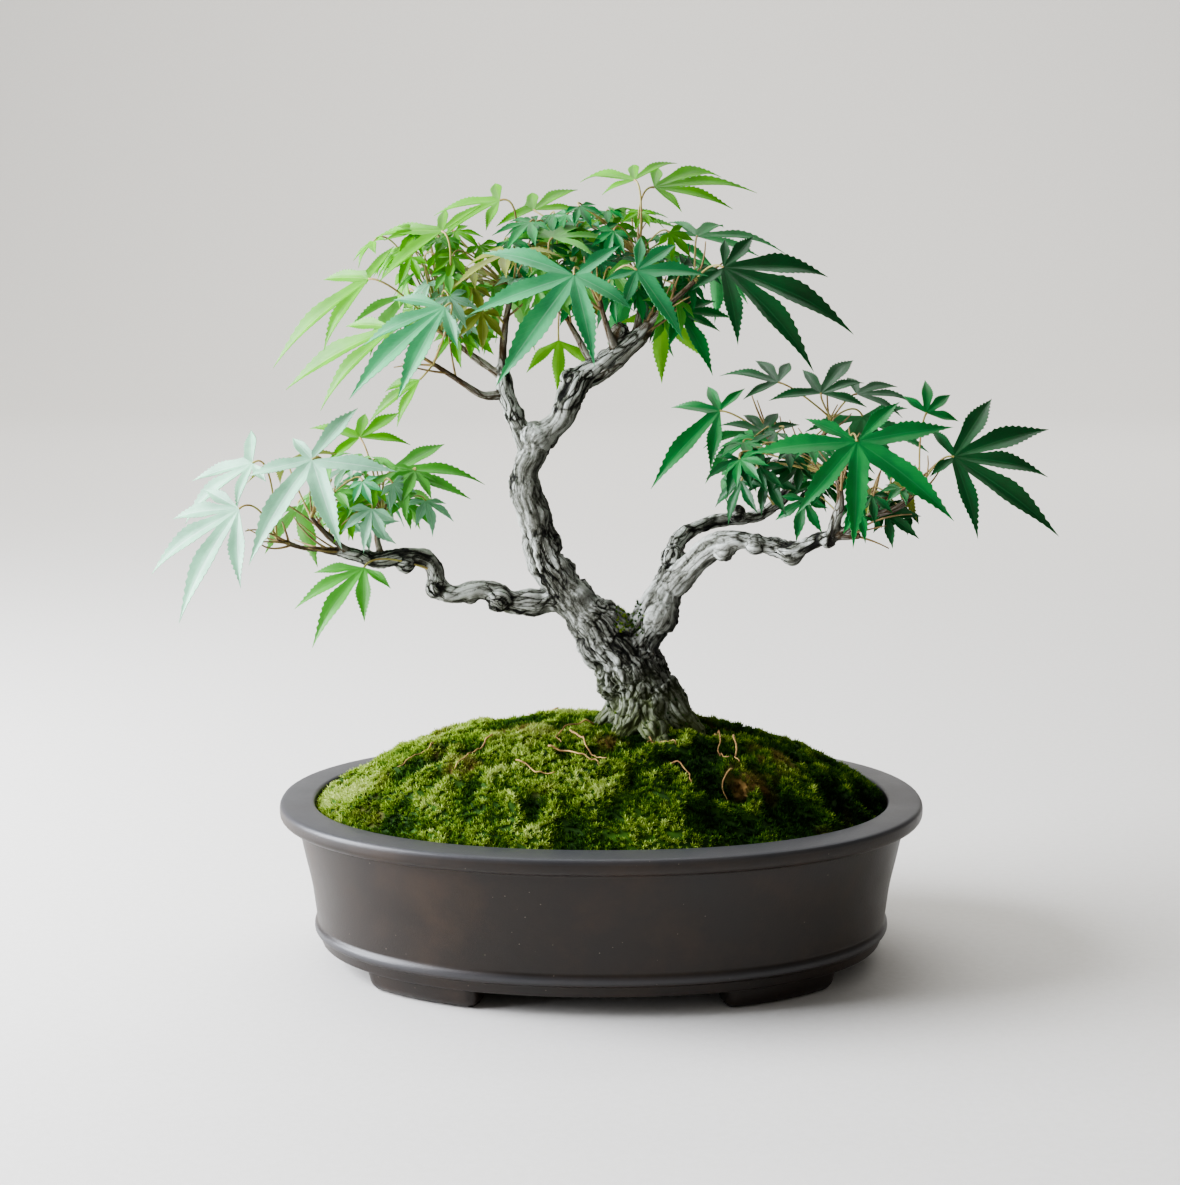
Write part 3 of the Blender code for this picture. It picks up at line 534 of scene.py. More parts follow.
def tube(name: str, route: list[tuple[float, float, float, float]],
         sides: int = 12) -> bpy.types.Object:
    """Model a round tapering tube with closed ends as a swept curve turned to mesh.

    Args:
        name: The object's name.
        route: (x, y, z, thickness) along the middle, in millimetres.
        sides: Faces round the tube.

    Returns:
        The tube as a mesh object.
    """
    curve = bpy.data.curves.new(name, "CURVE")
    curve.dimensions = "3D"
    curve.bevel_depth = 0.5 * MM
    curve.bevel_resolution = (sides - 4) // 2
    curve.use_fill_caps = True
    spline = curve.splines.new("POLY")
    spline.points.add(len(route) - 1)
    for point, (x, y, z, thickness) in zip(spline.points, route):
        point.co = (x * MM, y * MM, z * MM, 1.0)
        point.radius = thickness
    shape = bpy.data.objects.new(name, curve)
    bpy.context.scene.collection.objects.link(shape)
    activate(shape)
    bpy.ops.object.convert(target="MESH")
    close_and_orient(shape)
    return shape


def smooth_route(points: tuple[tuple[float, ...], ...], step: float) -> list[tuple[float, ...]]:
    """Read points at even steps from a smooth curve through a route's own points.

    Args:
        points: The route's points; any number of values each.
        step: Spacing in millimetres.

    Returns:
        The finer route.
    """
    rows = np.array(points, float)
    padded = np.vstack([2 * rows[0] - rows[1], rows, 2 * rows[-1] - rows[-2]])
    fine = [rows[0]]
    for index in range(len(rows) - 1):
        before, start, end, after = padded[index:index + 4]
        pieces = max(1, round(float(np.linalg.norm((end - start)[:3])) / step))
        for share in np.arange(1, pieces + 1) / pieces:
            square, cube = share ** 2, share ** 3
            fine.append(0.5 * (2 * start + (end - before) * share
                               + (2 * before - 5 * start + 4 * end - after) * square
                               + (3 * start - before - 3 * end + after) * cube))
    fine = np.array(fine)
    if fine.shape[1] > 3:
        fine[:, 3] = np.maximum(fine[:, 3], 0.9 * rows[:, 3].min())
    return [tuple(row) for row in fine]


def value_noise(points: np.ndarray, cell: float, seed: int) -> np.ndarray:
    """Smooth lattice noise between -1 and 1.

    Args:
        points: One row of x, y, z each.
        cell: Lattice spacing in the points' units.
        seed: Picks the lattice.

    Returns:
        One value for each row.
    """
    size = 32
    lattice = np.random.default_rng(seed).uniform(-1.0, 1.0, (size, size, size))
    scaled = np.asarray(points, float) / cell
    low = np.floor(scaled).astype(int)
    part = scaled - low
    part = part * part * (3.0 - 2.0 * part)
    total = np.zeros(len(scaled))
    for corner in range(8):
        offset = np.array([corner & 1, corner >> 1 & 1, corner >> 2 & 1])
        index = (low + offset) % size
        weight = np.prod(np.where(offset == 1, part, 1.0 - part), axis=1)
        total += weight * lattice[index[:, 0], index[:, 1], index[:, 2]]
    return total


def cracked(points: np.ndarray, cell: float, seed: int) -> tuple[np.ndarray, np.ndarray]:
    """Split space into ragged plates.

    Args:
        points: One row of x, y, z each.
        cell: Usual width of a plate in the points' units.
        seed: Picks the plates.

    Returns:
        How far each point lies from its plate's edge (0 in a crack), and its plate's own
        number from 0 to 1.
    """
    size = 32
    chance = np.random.default_rng(seed)
    jitter = chance.uniform(0.0, 1.0, (size, size, size, 3))
    number = chance.uniform(0.0, 1.0, (size, size, size))
    scaled = np.asarray(points, float) / cell
    low = np.floor(scaled).astype(int)
    nearest = np.full(len(scaled), 9.0)
    second, owner = nearest.copy(), np.zeros(len(scaled))
    for shift in itertools.product((-1, 0, 1), repeat=3):
        corner = low + np.array(shift)
        index = tuple((corner % size).T)
        reach = np.linalg.norm(corner + jitter[index] - scaled, axis=1)
        closer = reach < nearest
        second = np.where(closer, nearest, np.minimum(second, reach))
        owner = np.where(closer, number[index], owner)
        nearest = np.minimum(nearest, reach)
    return second - nearest, owner


def coordinates(piece: bpy.types.Object) -> np.ndarray:
    """Vertex places in millimetres, one row each.

    Args:
        piece: A mesh object.

    Returns:
        The places, one row of x, y, z for each vertex.
    """
    values = np.empty(len(piece.data.vertices) * 3, np.float32)
    piece.data.vertices.foreach_get("co", values)
    return values.reshape(-1, 3).astype(float) / MM


def set_coordinates(piece: bpy.types.Object, points: np.ndarray) -> None:
    """Write vertex places given in millimetres."""
    piece.data.vertices.foreach_set("co", (points * MM).astype(np.float32).ravel())
    piece.data.update()


def normals(piece: bpy.types.Object) -> np.ndarray:
    """Vertex normals, one row each.

    Args:
        piece: A mesh object.

    Returns:
        The normals, one row of x, y, z for each vertex.
    """
    values = np.empty(len(piece.data.vertices) * 3, np.float32)
    piece.data.vertex_normals.foreach_get("vector", values)
    return values.reshape(-1, 3).astype(float)


def store(piece: bpy.types.Object, name: str, values: np.ndarray) -> None:
    """Keep a number or a vector for each vertex as an attribute.

    Args:
        piece: A mesh object.
        name: The attribute's name.
        values: One number or one vector for each vertex.
    """
    vector = values.ndim == 2
    attribute = piece.data.attributes.new(name, "FLOAT_VECTOR" if vector else "FLOAT", "POINT")
    attribute.data.foreach_set("vector" if vector else "value", values.astype(np.float32).ravel())


def oval_point(turn: float, inset: float) -> tuple[float, float]:
    """Point of the pot's oval at a turn in radians, moved straight in from the rim's outer line.

    Args:
        turn: Angle round the pot from its +X end, in radians.
        inset: How far inside the rim's outer line, in millimetres.

    Returns:
        The x and y in millimetres.
    """
    cosine, sine = math.cos(turn), math.sin(turn)
    x = OVAL_HALF_LENGTH * math.copysign(abs(cosine) ** (2.0 / OVAL_POWER), cosine)
    y = OVAL_HALF_WIDTH * math.copysign(abs(sine) ** (2.0 / OVAL_POWER), sine)
    slope = OVAL_POWER - 1.0
    across = math.copysign(abs(x / OVAL_HALF_LENGTH) ** slope, x) / OVAL_HALF_LENGTH
    along = math.copysign(abs(y / OVAL_HALF_WIDTH) ** slope, y) / OVAL_HALF_WIDTH
    length = math.hypot(across, along)
    return x - inset * across / length, y - inset * along / length


def wall_share(x: np.ndarray, y: np.ndarray) -> np.ndarray:
    """How far out places lie on the mound: 0 in the middle, 1 at the pot's wall."""
    half_length, half_width = OVAL_HALF_LENGTH - RIM_WIDTH, OVAL_HALF_WIDTH - RIM_WIDTH
    return (np.abs(x / half_length) ** OVAL_POWER
            + np.abs(y / half_width) ** OVAL_POWER) ** (1.0 / OVAL_POWER)


# ---------------------------------------------------------------- finishes

@dataclass(frozen=True)
class Stoneware:
    """Unglazed stoneware, fired dark brown and smoothed to a satin face.

    The kiln's clouds and pale specks tell the eye that it is clay, not plastic; the rim top and the
    rib's crest carry a painted grey-blue sheen, with some handling wear.
    """

    body: str = "#201812"
    warm: str = "#302318"
    cool: str = "#191410"
    speck: str = "#766A5E"
    # painted sheen, with some handling wear: the grey-blue mixed onto the rim top and the rib's
    # crest
    painted_sheen: str = "#4A4C50"
    grain_mm: float = 0.8

    def material(self) -> bpy.types.Material:
        """Return the finish, clouded by the kiln, with pale specks, a painted sheen on rim and rib,
        and a sandy bump.

        Returns:
            The material.
        """
        made, tree, shader, _ = new_material("fired_stoneware")
        place = add_node(tree, "ShaderNodeTexCoord").outputs["Object"]
        cloud = add_node(tree, "ShaderNodeTexNoise",
                         {"Scale": 22.0, "Detail": 5.0, "Roughness": 0.6},
                         {"Vector": place}).outputs["Fac"]
        tone = ramp(tree, cloud, ((0.3, self.cool), (0.5, self.body), (0.72, self.warm)))
        grit = add_node(tree, "ShaderNodeTexVoronoi", {"Scale": 1.0 / (7.0 * self.grain_mm * MM)},
                        {"Vector": place}).outputs["Distance"]
        mask = add_node(tree, "ShaderNodeMapRange",
                        {"From Min": 0.03, "From Max": 0.06, "To Min": 0.6, "To Max": 0.0},
                        {"Value": grit}).outputs["Result"]
        colour = add_node(tree, "ShaderNodeMix", {"data_type": "RGBA", 7: linear(self.speck)},
                          {0: mask, 6: tone})
        level = add_node(tree, "ShaderNodeSeparateXYZ", links={0: place}).outputs["Z"]
        # painted sheen, with some handling wear: the rim top and the rib's crest are mixed towards
        # a lighter grey-blue
        rim = add_node(tree, "ShaderNodeMapRange",
                       {"From Min": 0.0735, "From Max": 0.0762, "To Min": 0.0, "To Max": 0.6},
                       {"Value": level}).outputs["Result"]
        above = add_node(tree, "ShaderNodeMath", {"operation": "SUBTRACT", 1: 0.0176},
                         {0: level}).outputs[0]
        above = add_node(tree, "ShaderNodeMath", {"operation": "ABSOLUTE"}, {0: above}).outputs[0]
        rib = add_node(tree, "ShaderNodeMapRange",
                       {"From Min": 0.0006, "From Max": 0.0024, "To Min": 0.4, "To Max": 0.0},
                       {"Value": above}).outputs["Result"]
        edges = add_node(tree, "ShaderNodeMath", {"operation": "MAXIMUM"},
                         {0: rim, 1: rib}).outputs[0]
        colour = add_node(tree, "ShaderNodeMix", {"data_type": "RGBA", 7: linear(self.painted_sheen)},
                          {0: edges, 6: colour.outputs[2]})
        tree.links.new(colour.outputs[2], shader.inputs["Base Color"])
        sand = add_node(tree, "ShaderNodeTexNoise",
                        {"Scale": 1.0 / (self.grain_mm * MM), "Detail": 3.0},
                        {"Vector": place}).outputs["Fac"]
        gloss = add_node(tree, "ShaderNodeMapRange",
                         {"From Min": 0.3, "From Max": 0.7, "To Min": 0.34, "To Max": 0.46},
                         {"Value": cloud}).outputs["Result"]
        tree.links.new(gloss, shader.inputs["Roughness"])
        bump = add_node(tree, "ShaderNodeBump", {"Strength": 0.25, "Distance": 0.0003},
                        {"Height": sand})
        tree.links.new(bump.outputs["Normal"], shader.inputs["Normal"])
        shader.inputs["Specular IOR Level"].default_value = 0.44
        return made


@dataclass(frozen=True)
class MapleBark:
    """Old maple bark, weathered to silver plates between black fissures, brown on young twigs.

    The deep cracks along the grain give the eye a great age at a small size.
    """

    crest: str = "#DADDD7"
    silver: str = "#AEB0A9"
    shade: str = "#74756C"
    dusk: str = "#3C3C33"
    fissure: str = "#10100C"
    twig: str = "#6A5236"
    lichen: str = "#5E6B34"

    def material(self) -> bpy.types.Material:
        """Return the finish; it follows the grain, relief, wear and girth kept on the wood, and
        darkens the side kept as painted shade.

        Returns:
            The material.
        """
        made, tree, shader, _ = new_material("weathered_maple_bark")
        grain = add_node(tree, "ShaderNodeAttribute", {"attribute_name": "grain"}).outputs["Vector"]
        relief, wear, girth = (add_node(tree, "ShaderNodeAttribute",
                                        {"attribute_name": name}).outputs["Fac"]
                               for name in ("relief", "wear", "girth"))
        fibres = add_node(tree, "ShaderNodeTexNoise",
                          {"Scale": 900.0, "Detail": 4.0, "Roughness": 0.6},
                          {"Vector": grain}).outputs["Fac"]
        cracks = add_node(tree, "ShaderNodeTexVoronoi",
                          {"feature": "DISTANCE_TO_EDGE", "Scale": 420.0},
                          {"Vector": grain}).outputs["Distance"]
        open_crack = add_node(tree, "ShaderNodeMapRange",
                              {"From Min": 0.0, "From Max": 0.07, "To Min": -0.5, "To Max": 0.0},
                              {"Value": cracks}).outputs["Result"]
        open_crack = add_node(tree, "ShaderNodeMath", {"operation": "MULTIPLY"},
                              {0: open_crack, 1: wear}).outputs[0]
        place = add_node(tree, "ShaderNodeTexCoord").outputs["Object"]
        pits = add_node(tree, "ShaderNodeTexNoise",
                        {"Scale": 700.0, "Detail": 3.0, "Roughness": 0.7},
                        {"Vector": place}).outputs["Fac"]
        height = relief
        for part, share in ((fibres, 0.75), (pits, 0.45)):
            swing = add_node(tree, "ShaderNodeMath",
                             {"operation": "MULTIPLY_ADD", 1: share, 2: -share / 2.0}, {0: part})
            height = add_node(tree, "ShaderNodeMath", {"operation": "ADD"},
                              {0: height, 1: swing.outputs[0]}).outputs[0]
        height = add_node(tree, "ShaderNodeMath", {"operation": "ADD"},
                          {0: height, 1: open_crack}).outputs[0]
        bark = ramp(tree, height, ((0.14, self.fissure), (0.34, self.dusk), (0.52, self.shade),
                                   (0.7, self.silver), (0.9, self.crest)))
        youth = add_node(tree, "ShaderNodeMapRange",
                         {"From Min": 2.6, "From Max": 5.5, "To Min": 0.8, "To Max": 0.0},
                         {"Value": girth}).outputs["Result"]
        young = add_node(tree, "ShaderNodeMix", {"data_type": "RGBA", 7: linear(self.twig)},
                         {0: youth, 6: bark})
        level = add_node(tree, "ShaderNodeSeparateXYZ", links={0: place}).outputs["Z"]
        # darker towards the bottom of the trunk, below 180 mm
        darker_low_down = add_node(tree, "ShaderNodeMapRange",
                           {"From Min": 0.108, "From Max": 0.180, "To Min": 0.8, "To Max": 0.0},
                           {"Value": level}).outputs["Result"]
        dark = add_node(tree, "ShaderNodeMix",
                        {"data_type": "RGBA", "blend_type": "MULTIPLY", 7: linear("#5C5B50")},
                        {0: darker_low_down, 6: young.outputs[2]})
        # painted shade: bark facing +X, away from the key light, or facing down is multiplied
        # darker
        lee = add_node(tree, "ShaderNodeAttribute", {"attribute_name": "lee"}).outputs["Fac"]
        dark = add_node(tree, "ShaderNodeMix",
                        {"data_type": "RGBA", "blend_type": "MULTIPLY", 7: linear("#4A4B3E")},
                        {0: lee, 6: dark.outputs[2]})
        patches = add_node(tree, "ShaderNodeTexNoise", {"Scale": 60.0, "Detail": 3.0},
                           {"Vector": place}).outputs["Fac"]
        low = add_node(tree, "ShaderNodeMapRange",
                       {"From Min": 0.106, "From Max": 0.142, "To Min": 1.1, "To Max": 0.0},
                       {"Value": level}).outputs["Result"]
        damp = add_node(tree, "ShaderNodeMath", {"operation": "MULTIPLY", "use_clamp": True},
                        {0: low, 1: patches})
        colour = add_node(tree, "ShaderNodeMix", {"data_type": "RGBA", 7: linear(self.lichen)},
                          {0: damp.outputs[0], 6: dark.outputs[2]})
        tree.links.new(colour.outputs[2], shader.inputs["Base Color"])
        shader.inputs["Roughness"].default_value = 0.8
        shader.inputs["Specular IOR Level"].default_value = 0.3
        bump = add_node(tree, "ShaderNodeBump", {"Strength": 0.9, "Distance": 0.0008},
                        {"Height": height})
        tree.links.new(bump.outputs["Normal"], shader.inputs["Normal"])
        return made


@dataclass(frozen=True)
class LeafSkin:
    """Living maple leaf: a thin satin skin with paler veins.

    Light shining through it, and the paler underside, give the eye a soft and living leaf.
    """

    face: str
    under: str
    vein: str
    glow: str
    glow_share: float = 0.35

    def material(self, name: str, underside: bool = False) -> bpy.types.Material:
        """Return one side of the blade; the blade's own UV map places the midrib and side veins.

        Args:
            name: The tone's name.
            underside: True for the paler lower side.

        Returns:
            The material.
        """
        made, tree, shader, output = new_material(("leaf_underside_" if underside
                                                   else "leaf_face_") + name)
        blade = add_node(tree, "ShaderNodeUVMap", {"uv_map": "UVMap"}).outputs["UV"]
        split = add_node(tree, "ShaderNodeSeparateXYZ", links={0: blade})
        off = add_node(tree, "ShaderNodeMath", {"operation": "SUBTRACT", 1: 0.5},
                       {0: split.outputs["X"]})
        off = add_node(tree, "ShaderNodeMath", {"operation": "ABSOLUTE"},
                       {0: off.outputs[0]}).outputs[0]
        rib = add_node(tree, "ShaderNodeMapRange",
                       {"From Min": 0.01, "From Max": 0.045, "To Min": 0.45, "To Max": 0.0},
                       {"Value": off}).outputs["Result"]
        lean = add_node(tree, "ShaderNodeMath", {"operation": "MULTIPLY", 1: 5.5},
                        {0: off}).outputs[0]
        run = add_node(tree, "ShaderNodeMath", {"operation": "MULTIPLY", 1: 15.0},
                       {0: split.outputs["Y"]}).outputs[0]
        wave = add_node(tree, "ShaderNodeMath", {"operation": "SUBTRACT"},
                        {0: run, 1: lean}).outputs[0]
        wave = add_node(tree, "ShaderNodeMath", {"operation": "PINGPONG", 1: 0.5},
                        {0: wave}).outputs[0]
        side = add_node(tree, "ShaderNodeMapRange",
                        {"From Min": 0.0, "From Max": 0.07, "To Min": 0.14, "To Max": 0.0},
                        {"Value": wave}).outputs["Result"]
        veins = add_node(tree, "ShaderNodeMath", {"operation": "MAXIMUM"},
                         {0: rib, 1: side}).outputs[0]
        place = add_node(tree, "ShaderNodeTexCoord").outputs["Object"]
        cloud = add_node(tree, "ShaderNodeTexNoise",
                         {"Scale": 70.0, "Detail": 4.0, "Roughness": 0.6},
                         {"Vector": place}).outputs["Fac"]
        base = self.under if underside else self.face
        flesh = ramp(tree, cloud, ((0.25, darker(base, 0.82)), (0.5, base),
                                   (0.8, darker(base, 1.16))))
        colour = add_node(tree, "ShaderNodeMix", {"data_type": "RGBA", 7: linear(self.vein)},
                          {0: veins, 6: flesh})
        tree.links.new(colour.outputs[2], shader.inputs["Base Color"])
        shader.inputs["Roughness"].default_value = 0.62 if underside else 0.42
        shader.inputs["Specular IOR Level"].default_value = 0.35 if underside else 0.5
        bump = add_node(tree, "ShaderNodeBump",
                        {"Strength": 0.35, "Distance": 0.0003, "invert": not underside},
                        {"Height": veins})
        tree.links.new(bump.outputs["Normal"], shader.inputs["Normal"])
        through = add_node(tree, "ShaderNodeBsdfTranslucent", {"Color": linear(self.glow)})
        mix = add_node(tree, "ShaderNodeMixShader", {0: self.glow_share},
                       {1: shader.outputs["BSDF"], 2: through.outputs["BSDF"]})
        tree.links.new(mix.outputs["Shader"], output.inputs["Surface"])
        return made


def darker(hex_colour: str, factor: float) -> str:
    """Scale an sRGB hex colour's brightness.

    Args:
        hex_colour: The colour to scale.
        factor: Below 1 darkens it and above 1 lightens it.

    Returns:
        The new hex colour.
    """
    digits = hex_colour.lstrip("#")
    values = [min(255, round(int(digits[i:i + 2], 16) * factor)) for i in (0, 2, 4)]
    return "#%02X%02X%02X" % tuple(values)


LEAF_SKINS = {
    Tone.SPRING: LeafSkin("#5FA81A", "#82BA3C", "#9CCC54", "#98DC26", 0.36),
    Tone.MINT: LeafSkin("#429E66", "#74B486", "#90CCA4", "#68C456", 0.26),
    # painted light: the pale tone stands for window light on the left leaves
    Tone.PALE: LeafSkin("#90C8A6", "#A4D0B4", "#DCEEE2", "#98D88C", 0.24),
    Tone.SOFT: LeafSkin("#5CA844", "#84B86C", "#98CA80", "#88D448", 0.34),
    Tone.FRESH: LeafSkin("#1E803C", "#3C8C4E", "#4EA062", "#4CB82C", 0.26),
    # painted shade: the deep tone stands for shade on the right leaves
    Tone.DEEP: LeafSkin("#0F5826", "#286C3A", "#3A8A4E", "#2E9420", 0.2),
    Tone.OLIVE: LeafSkin("#84903E", "#98A060", "#ACB474", "#B8C042", 0.32),
}


@dataclass(frozen=True)
class Moss:
    """Living cushion moss: matt, yellow-green on the tips and near black between the shoots, with
    painted shade in the cushions' hollows and painted light towards the left.

    Bright tips over dark depths give the eye a deep soft pile.
    """

    tip: str = "#A2BA4A"
    green: str = "#587E26"
    deep: str = "#1D3A10"
    brown: str = "#7A5C34"

    def material(self, ground: bool = False) -> bpy.types.Material:
        """Return the shoots' finish, or the darker one of the mat beneath them.

        Args:
            ground: True for the mat.

        Returns:
            The material.
        """
        made, tree, shader, output = new_material("moss_mat" if ground else "moss_shoots")
        place = add_node(tree, "ShaderNodeTexCoord").outputs["Object"]
        cushions = add_node(tree, "ShaderNodeTexNoise",
                            {"Scale": 38.0, "Detail": 4.0, "Roughness": 0.6},
                            {"Vector": place}).outputs["Fac"]
        if ground:
            tone = ramp(tree, cushions, ((0.3, "#1A2A0C"), (0.5, "#274313"), (0.75, "#446A1C")))
        else:
            height = add_node(tree, "ShaderNodeAttribute",
                              {"attribute_name": "shoot"}).outputs["Fac"]
            lift = add_node(tree, "ShaderNodeMath", {"operation": "MULTIPLY_ADD", 1: 0.8, 2: -0.4},
                            {0: cushions})
            value = add_node(tree, "ShaderNodeMath", {"operation": "ADD"},
                             {0: height, 1: lift.outputs[0]})
            tone = ramp(tree, value.outputs[0],
                        ((0.0, "#10220A"), (0.2, self.deep), (0.42, "#365E1A"), (0.62, self.green),
                         (0.84, self.tip), (1.0, "#C6D286")))
        patches = add_node(tree, "ShaderNodeAttribute", {"attribute_name": "dry"}).outputs["Fac"]
        colour = add_node(tree, "ShaderNodeMix", {"data_type": "RGBA", 7: linear(self.brown)},
                          {0: patches, 6: tone})
        tree.links.new(colour.outputs[2], shader.inputs["Base Color"])
        shader.inputs["Roughness"].default_value = 0.85
        shader.inputs["Specular IOR Level"].default_value = 0.2
        if not ground:
            through = add_node(tree, "ShaderNodeBsdfTranslucent",
                               links={"Color": colour.outputs[2]})
            mix = add_node(tree, "ShaderNodeMixShader", {0: 0.35},
                           {1: shader.outputs["BSDF"], 2: through.outputs["BSDF"]})
            tree.links.new(mix.outputs["Shader"], output.inputs["Surface"])
        return made


@dataclass(frozen=True)
class Plain:
    """A matt or satin material of two mingled tones.

    Its grain gives the eye the scale of the thing, so that nothing looks cast or painted.
    """

    name: str
    dark: str
    light: str
    grain_mm: float
    roughness: float
    metallic: float = 0.0
    depth_mm: float = 0.3

    def material(self) -> bpy.types.Material:
        """Return the finish: noise of the grain's size drives colour and bump.

        Returns:
            The material.
        """
        made, tree, shader, _ = new_material(self.name)
        place = add_node(tree, "ShaderNodeTexCoord").outputs["Object"]
        grain = add_node(tree, "ShaderNodeTexNoise",
                         {"Scale": 1.0 / (self.grain_mm * MM), "Detail": 4.0, "Roughness": 0.65},
                         {"Vector": place}).outputs["Fac"]
        tree.links.new(ramp(tree, grain, ((0.35, self.dark), (0.65, self.light))),
                       shader.inputs["Base Color"])
        shader.inputs["Roughness"].default_value = self.roughness
        shader.inputs["Metallic"].default_value = self.metallic
        bump = add_node(tree, "ShaderNodeBump", {"Strength": 0.5, "Distance": self.depth_mm * MM},
                        {"Height": grain})
        tree.links.new(bump.outputs["Normal"], shader.inputs["Normal"])
        return made


PETIOLE_SKIN = Plain("leaf_petiole", "#96784A", "#A6A35C", 7.0, 0.5, depth_mm=0.1)
TWIGLET_SKIN = Plain("young_maple_twig", "#6E5438", "#A08A58", 4.0, 0.6, depth_mm=0.15)
ROOT_SKIN = Plain("dry_surface_root", "#6A4226", "#B8985E", 5.0, 0.75, depth_mm=0.2)
SOIL = Plain("damp_potting_soil", "#1C130C", "#4A3726", 1.8, 0.95, depth_mm=0.8)
GRIT = Plain("pale_clay_grit", "#8F7452", "#C9B18C", 3.5, 0.9, depth_mm=1.0)
MESH_PLASTIC = Plain("moulded_mesh_plastic", "#101010", "#1C1C1B", 0.6, 0.5, depth_mm=0.05)
WIRE = Plain("anodised_aluminium_wire", "#7A4A30", "#946044", 2.0, 0.35, metallic=1.0,
             depth_mm=0.02)
STUDIO_PAPER = Plain("studio_floor_paper", "#D2CFC9", "#D6D3CE", 4.0, 0.9, depth_mm=0.02)


# ---------------------------------------------------------------- pot

@dataclass
class OvalPot:
    """The oval pot: rim, wall, raised rib, base, four feet and two drainage holes."""

    height: float = 76.5
    foot_height: float = 9.5
    foot_taper: float = 0.98
    floor_top: float = 17.5
    foot_depth: float = 18.0
    base_inset: float = 18.5
    sides: int = 96
    foot_turn: tuple[float, float] = (33.75, 63.75)
    drain_x: float = 62.0
    drain_radius: float = 7.0
    finish: Stoneware = field(default_factory=Stoneware)

    def profile(self) -> list[tuple[float, float]]:
        """Return the section's corners from under the base, up the outside and down inside."""
        corners = (
            (self.base_inset + self.foot_depth, self.foot_height, 0.0),
            (self.base_inset, self.foot_height, 1.2),
            (17.2, 14.6, 0.8), (15.1, 15.8, 1.0), (15.1, 18.6, 1.2), (16.5, 20.4, 1.0),
            (14.4, 38.0, 10.0), (11.0, 53.0, 8.0), (9.0, 63.0, 5.0), (8.4, 67.2, 1.6),
            (1.6, 68.6, 1.4), (0.0, 70.6, 1.4), (0.0, self.height - 0.3, 2.2),
            (RIM_WIDTH, self.height, 1.6), (17.2, 70.0, 1.2), (18.6, 64.0, 3.0),
            (24.0, 30.0, 6.0), (27.0, 21.5, 3.0), (33.0, self.floor_top, 3.0),
            (46.0, self.floor_top, 0.0))
        return fillet(corners)

    def build(self) -> bpy.types.Object:
        """Model the pot from one oval of edges, extruded ring by ring round its section.

        Returns:
            The finished pot.
        """
        section = self.profile()
        deselect()
        bpy.ops.mesh.primitive_circle_add(vertices=self.sides, radius=OVAL_HALF_LENGTH * MM,
                                          fill_type="NOTHING")
        pot = bpy.context.active_object
        self.place_ring(pot, range(self.sides), section[0])
        bpy.ops.object.mode_set(mode="EDIT")
        bpy.ops.mesh.select_all(action="SELECT")
        for index in range(1, len(section)):
            bpy.ops.mesh.extrude_edges_move()
            bpy.ops.object.mode_set(mode="OBJECT")
            self.place_ring(pot, range(index * self.sides, (index + 1) * self.sides),
                            section[index])
            bpy.ops.object.mode_set(mode="EDIT")
        bpy.ops.mesh.select_all(action="SELECT")
        bpy.ops.mesh.region_to_loop()
        bpy.ops.mesh.edge_face_add()
        bpy.ops.object.mode_set(mode="OBJECT")
        self.cap(pot)
        close_and_orient(pot)
        self.grow_feet(pot)
        for x in (-self.drain_x, self.drain_x):
            self.drill(pot, x)
        activate(pot)
        bpy.ops.object.shade_smooth_by_angle(angle=math.radians(38.0))
        return pot

    def place_ring(self, pot: bpy.types.Object, members: range,
                   corner: tuple[float, float]) -> None:
        """Set a ring of vertices on the oval at one corner of the section."""
        inset, height = corner
        for step, index in enumerate(members):
            x, y = oval_point(2.0 * math.pi * step / self.sides, inset)
            pot.data.vertices[index].co = (x * MM, y * MM, height * MM)

    def cap(self, pot: bpy.types.Object) -> None:
        """Close the two open ends of the section, under the base and on the inside floor.

        Args:
            pot: The swept wall of the pot.
        """
        activate(pot)
        for level in (self.foot_height, self.floor_top):
            bpy.ops.object.mode_set(mode="EDIT")
            bpy.ops.mesh.select_all(action="DESELECT")
            bpy.ops.mesh.select_mode(type="EDGE")
            bpy.ops.mesh.select_non_manifold(extend=False, use_wire=True, use_boundary=True,
                                             use_multi_face=False, use_non_contiguous=False,
                                             use_verts=False)
            bpy.ops.object.mode_set(mode="OBJECT")
            for edge in pot.data.edges:
                heights = [pot.data.vertices[index].co.z / MM for index in edge.vertices]
                edge.select = edge.select and all(abs(height - level) < 0.05 for height in heights)
            bpy.ops.object.mode_set(mode="EDIT")
            bpy.ops.mesh.edge_face_add()
            bpy.ops.object.mode_set(mode="OBJECT")

    def grow_feet(self, pot: bpy.types.Object) -> None:
        """Extrude the four feet from the underside and round their edges.

        Args:
            pot: The closed body of the pot.
        """
        activate(pot)
        bpy.ops.object.mode_set(mode="EDIT")
        bpy.ops.mesh.select_all(action="DESELECT")
        bpy.ops.mesh.select_mode(type="FACE")
        bpy.ops.object.mode_set(mode="OBJECT")
        for face in pot.data.polygons:
            face.select = self.carries_foot(pot, face)
        bpy.ops.object.mode_set(mode="EDIT")
        down = (0.0, 0.0, -self.foot_height * MM)
        bpy.ops.mesh.extrude_region_move(TRANSFORM_OT_translate={"value": down})
        bpy.ops.object.mode_set(mode="OBJECT")
        for vertex in pot.data.vertices:
            if vertex.select:
                vertex.co.x *= self.foot_taper
                vertex.co.y *= self.foot_taper
        ends = self.foot_ends(pot)
        for edge in pot.data.edges:
            edge.select = edge.index in ends
        bpy.ops.object.mode_set(mode="EDIT")
        bpy.ops.mesh.select_mode(type="EDGE")
        bpy.ops.mesh.bevel(offset=5.0 * MM, segments=5, affect="EDGES")
        bpy.ops.object.mode_set(mode="OBJECT")
        LOG.info("feet grown, %d upright edges rounded", len(ends))

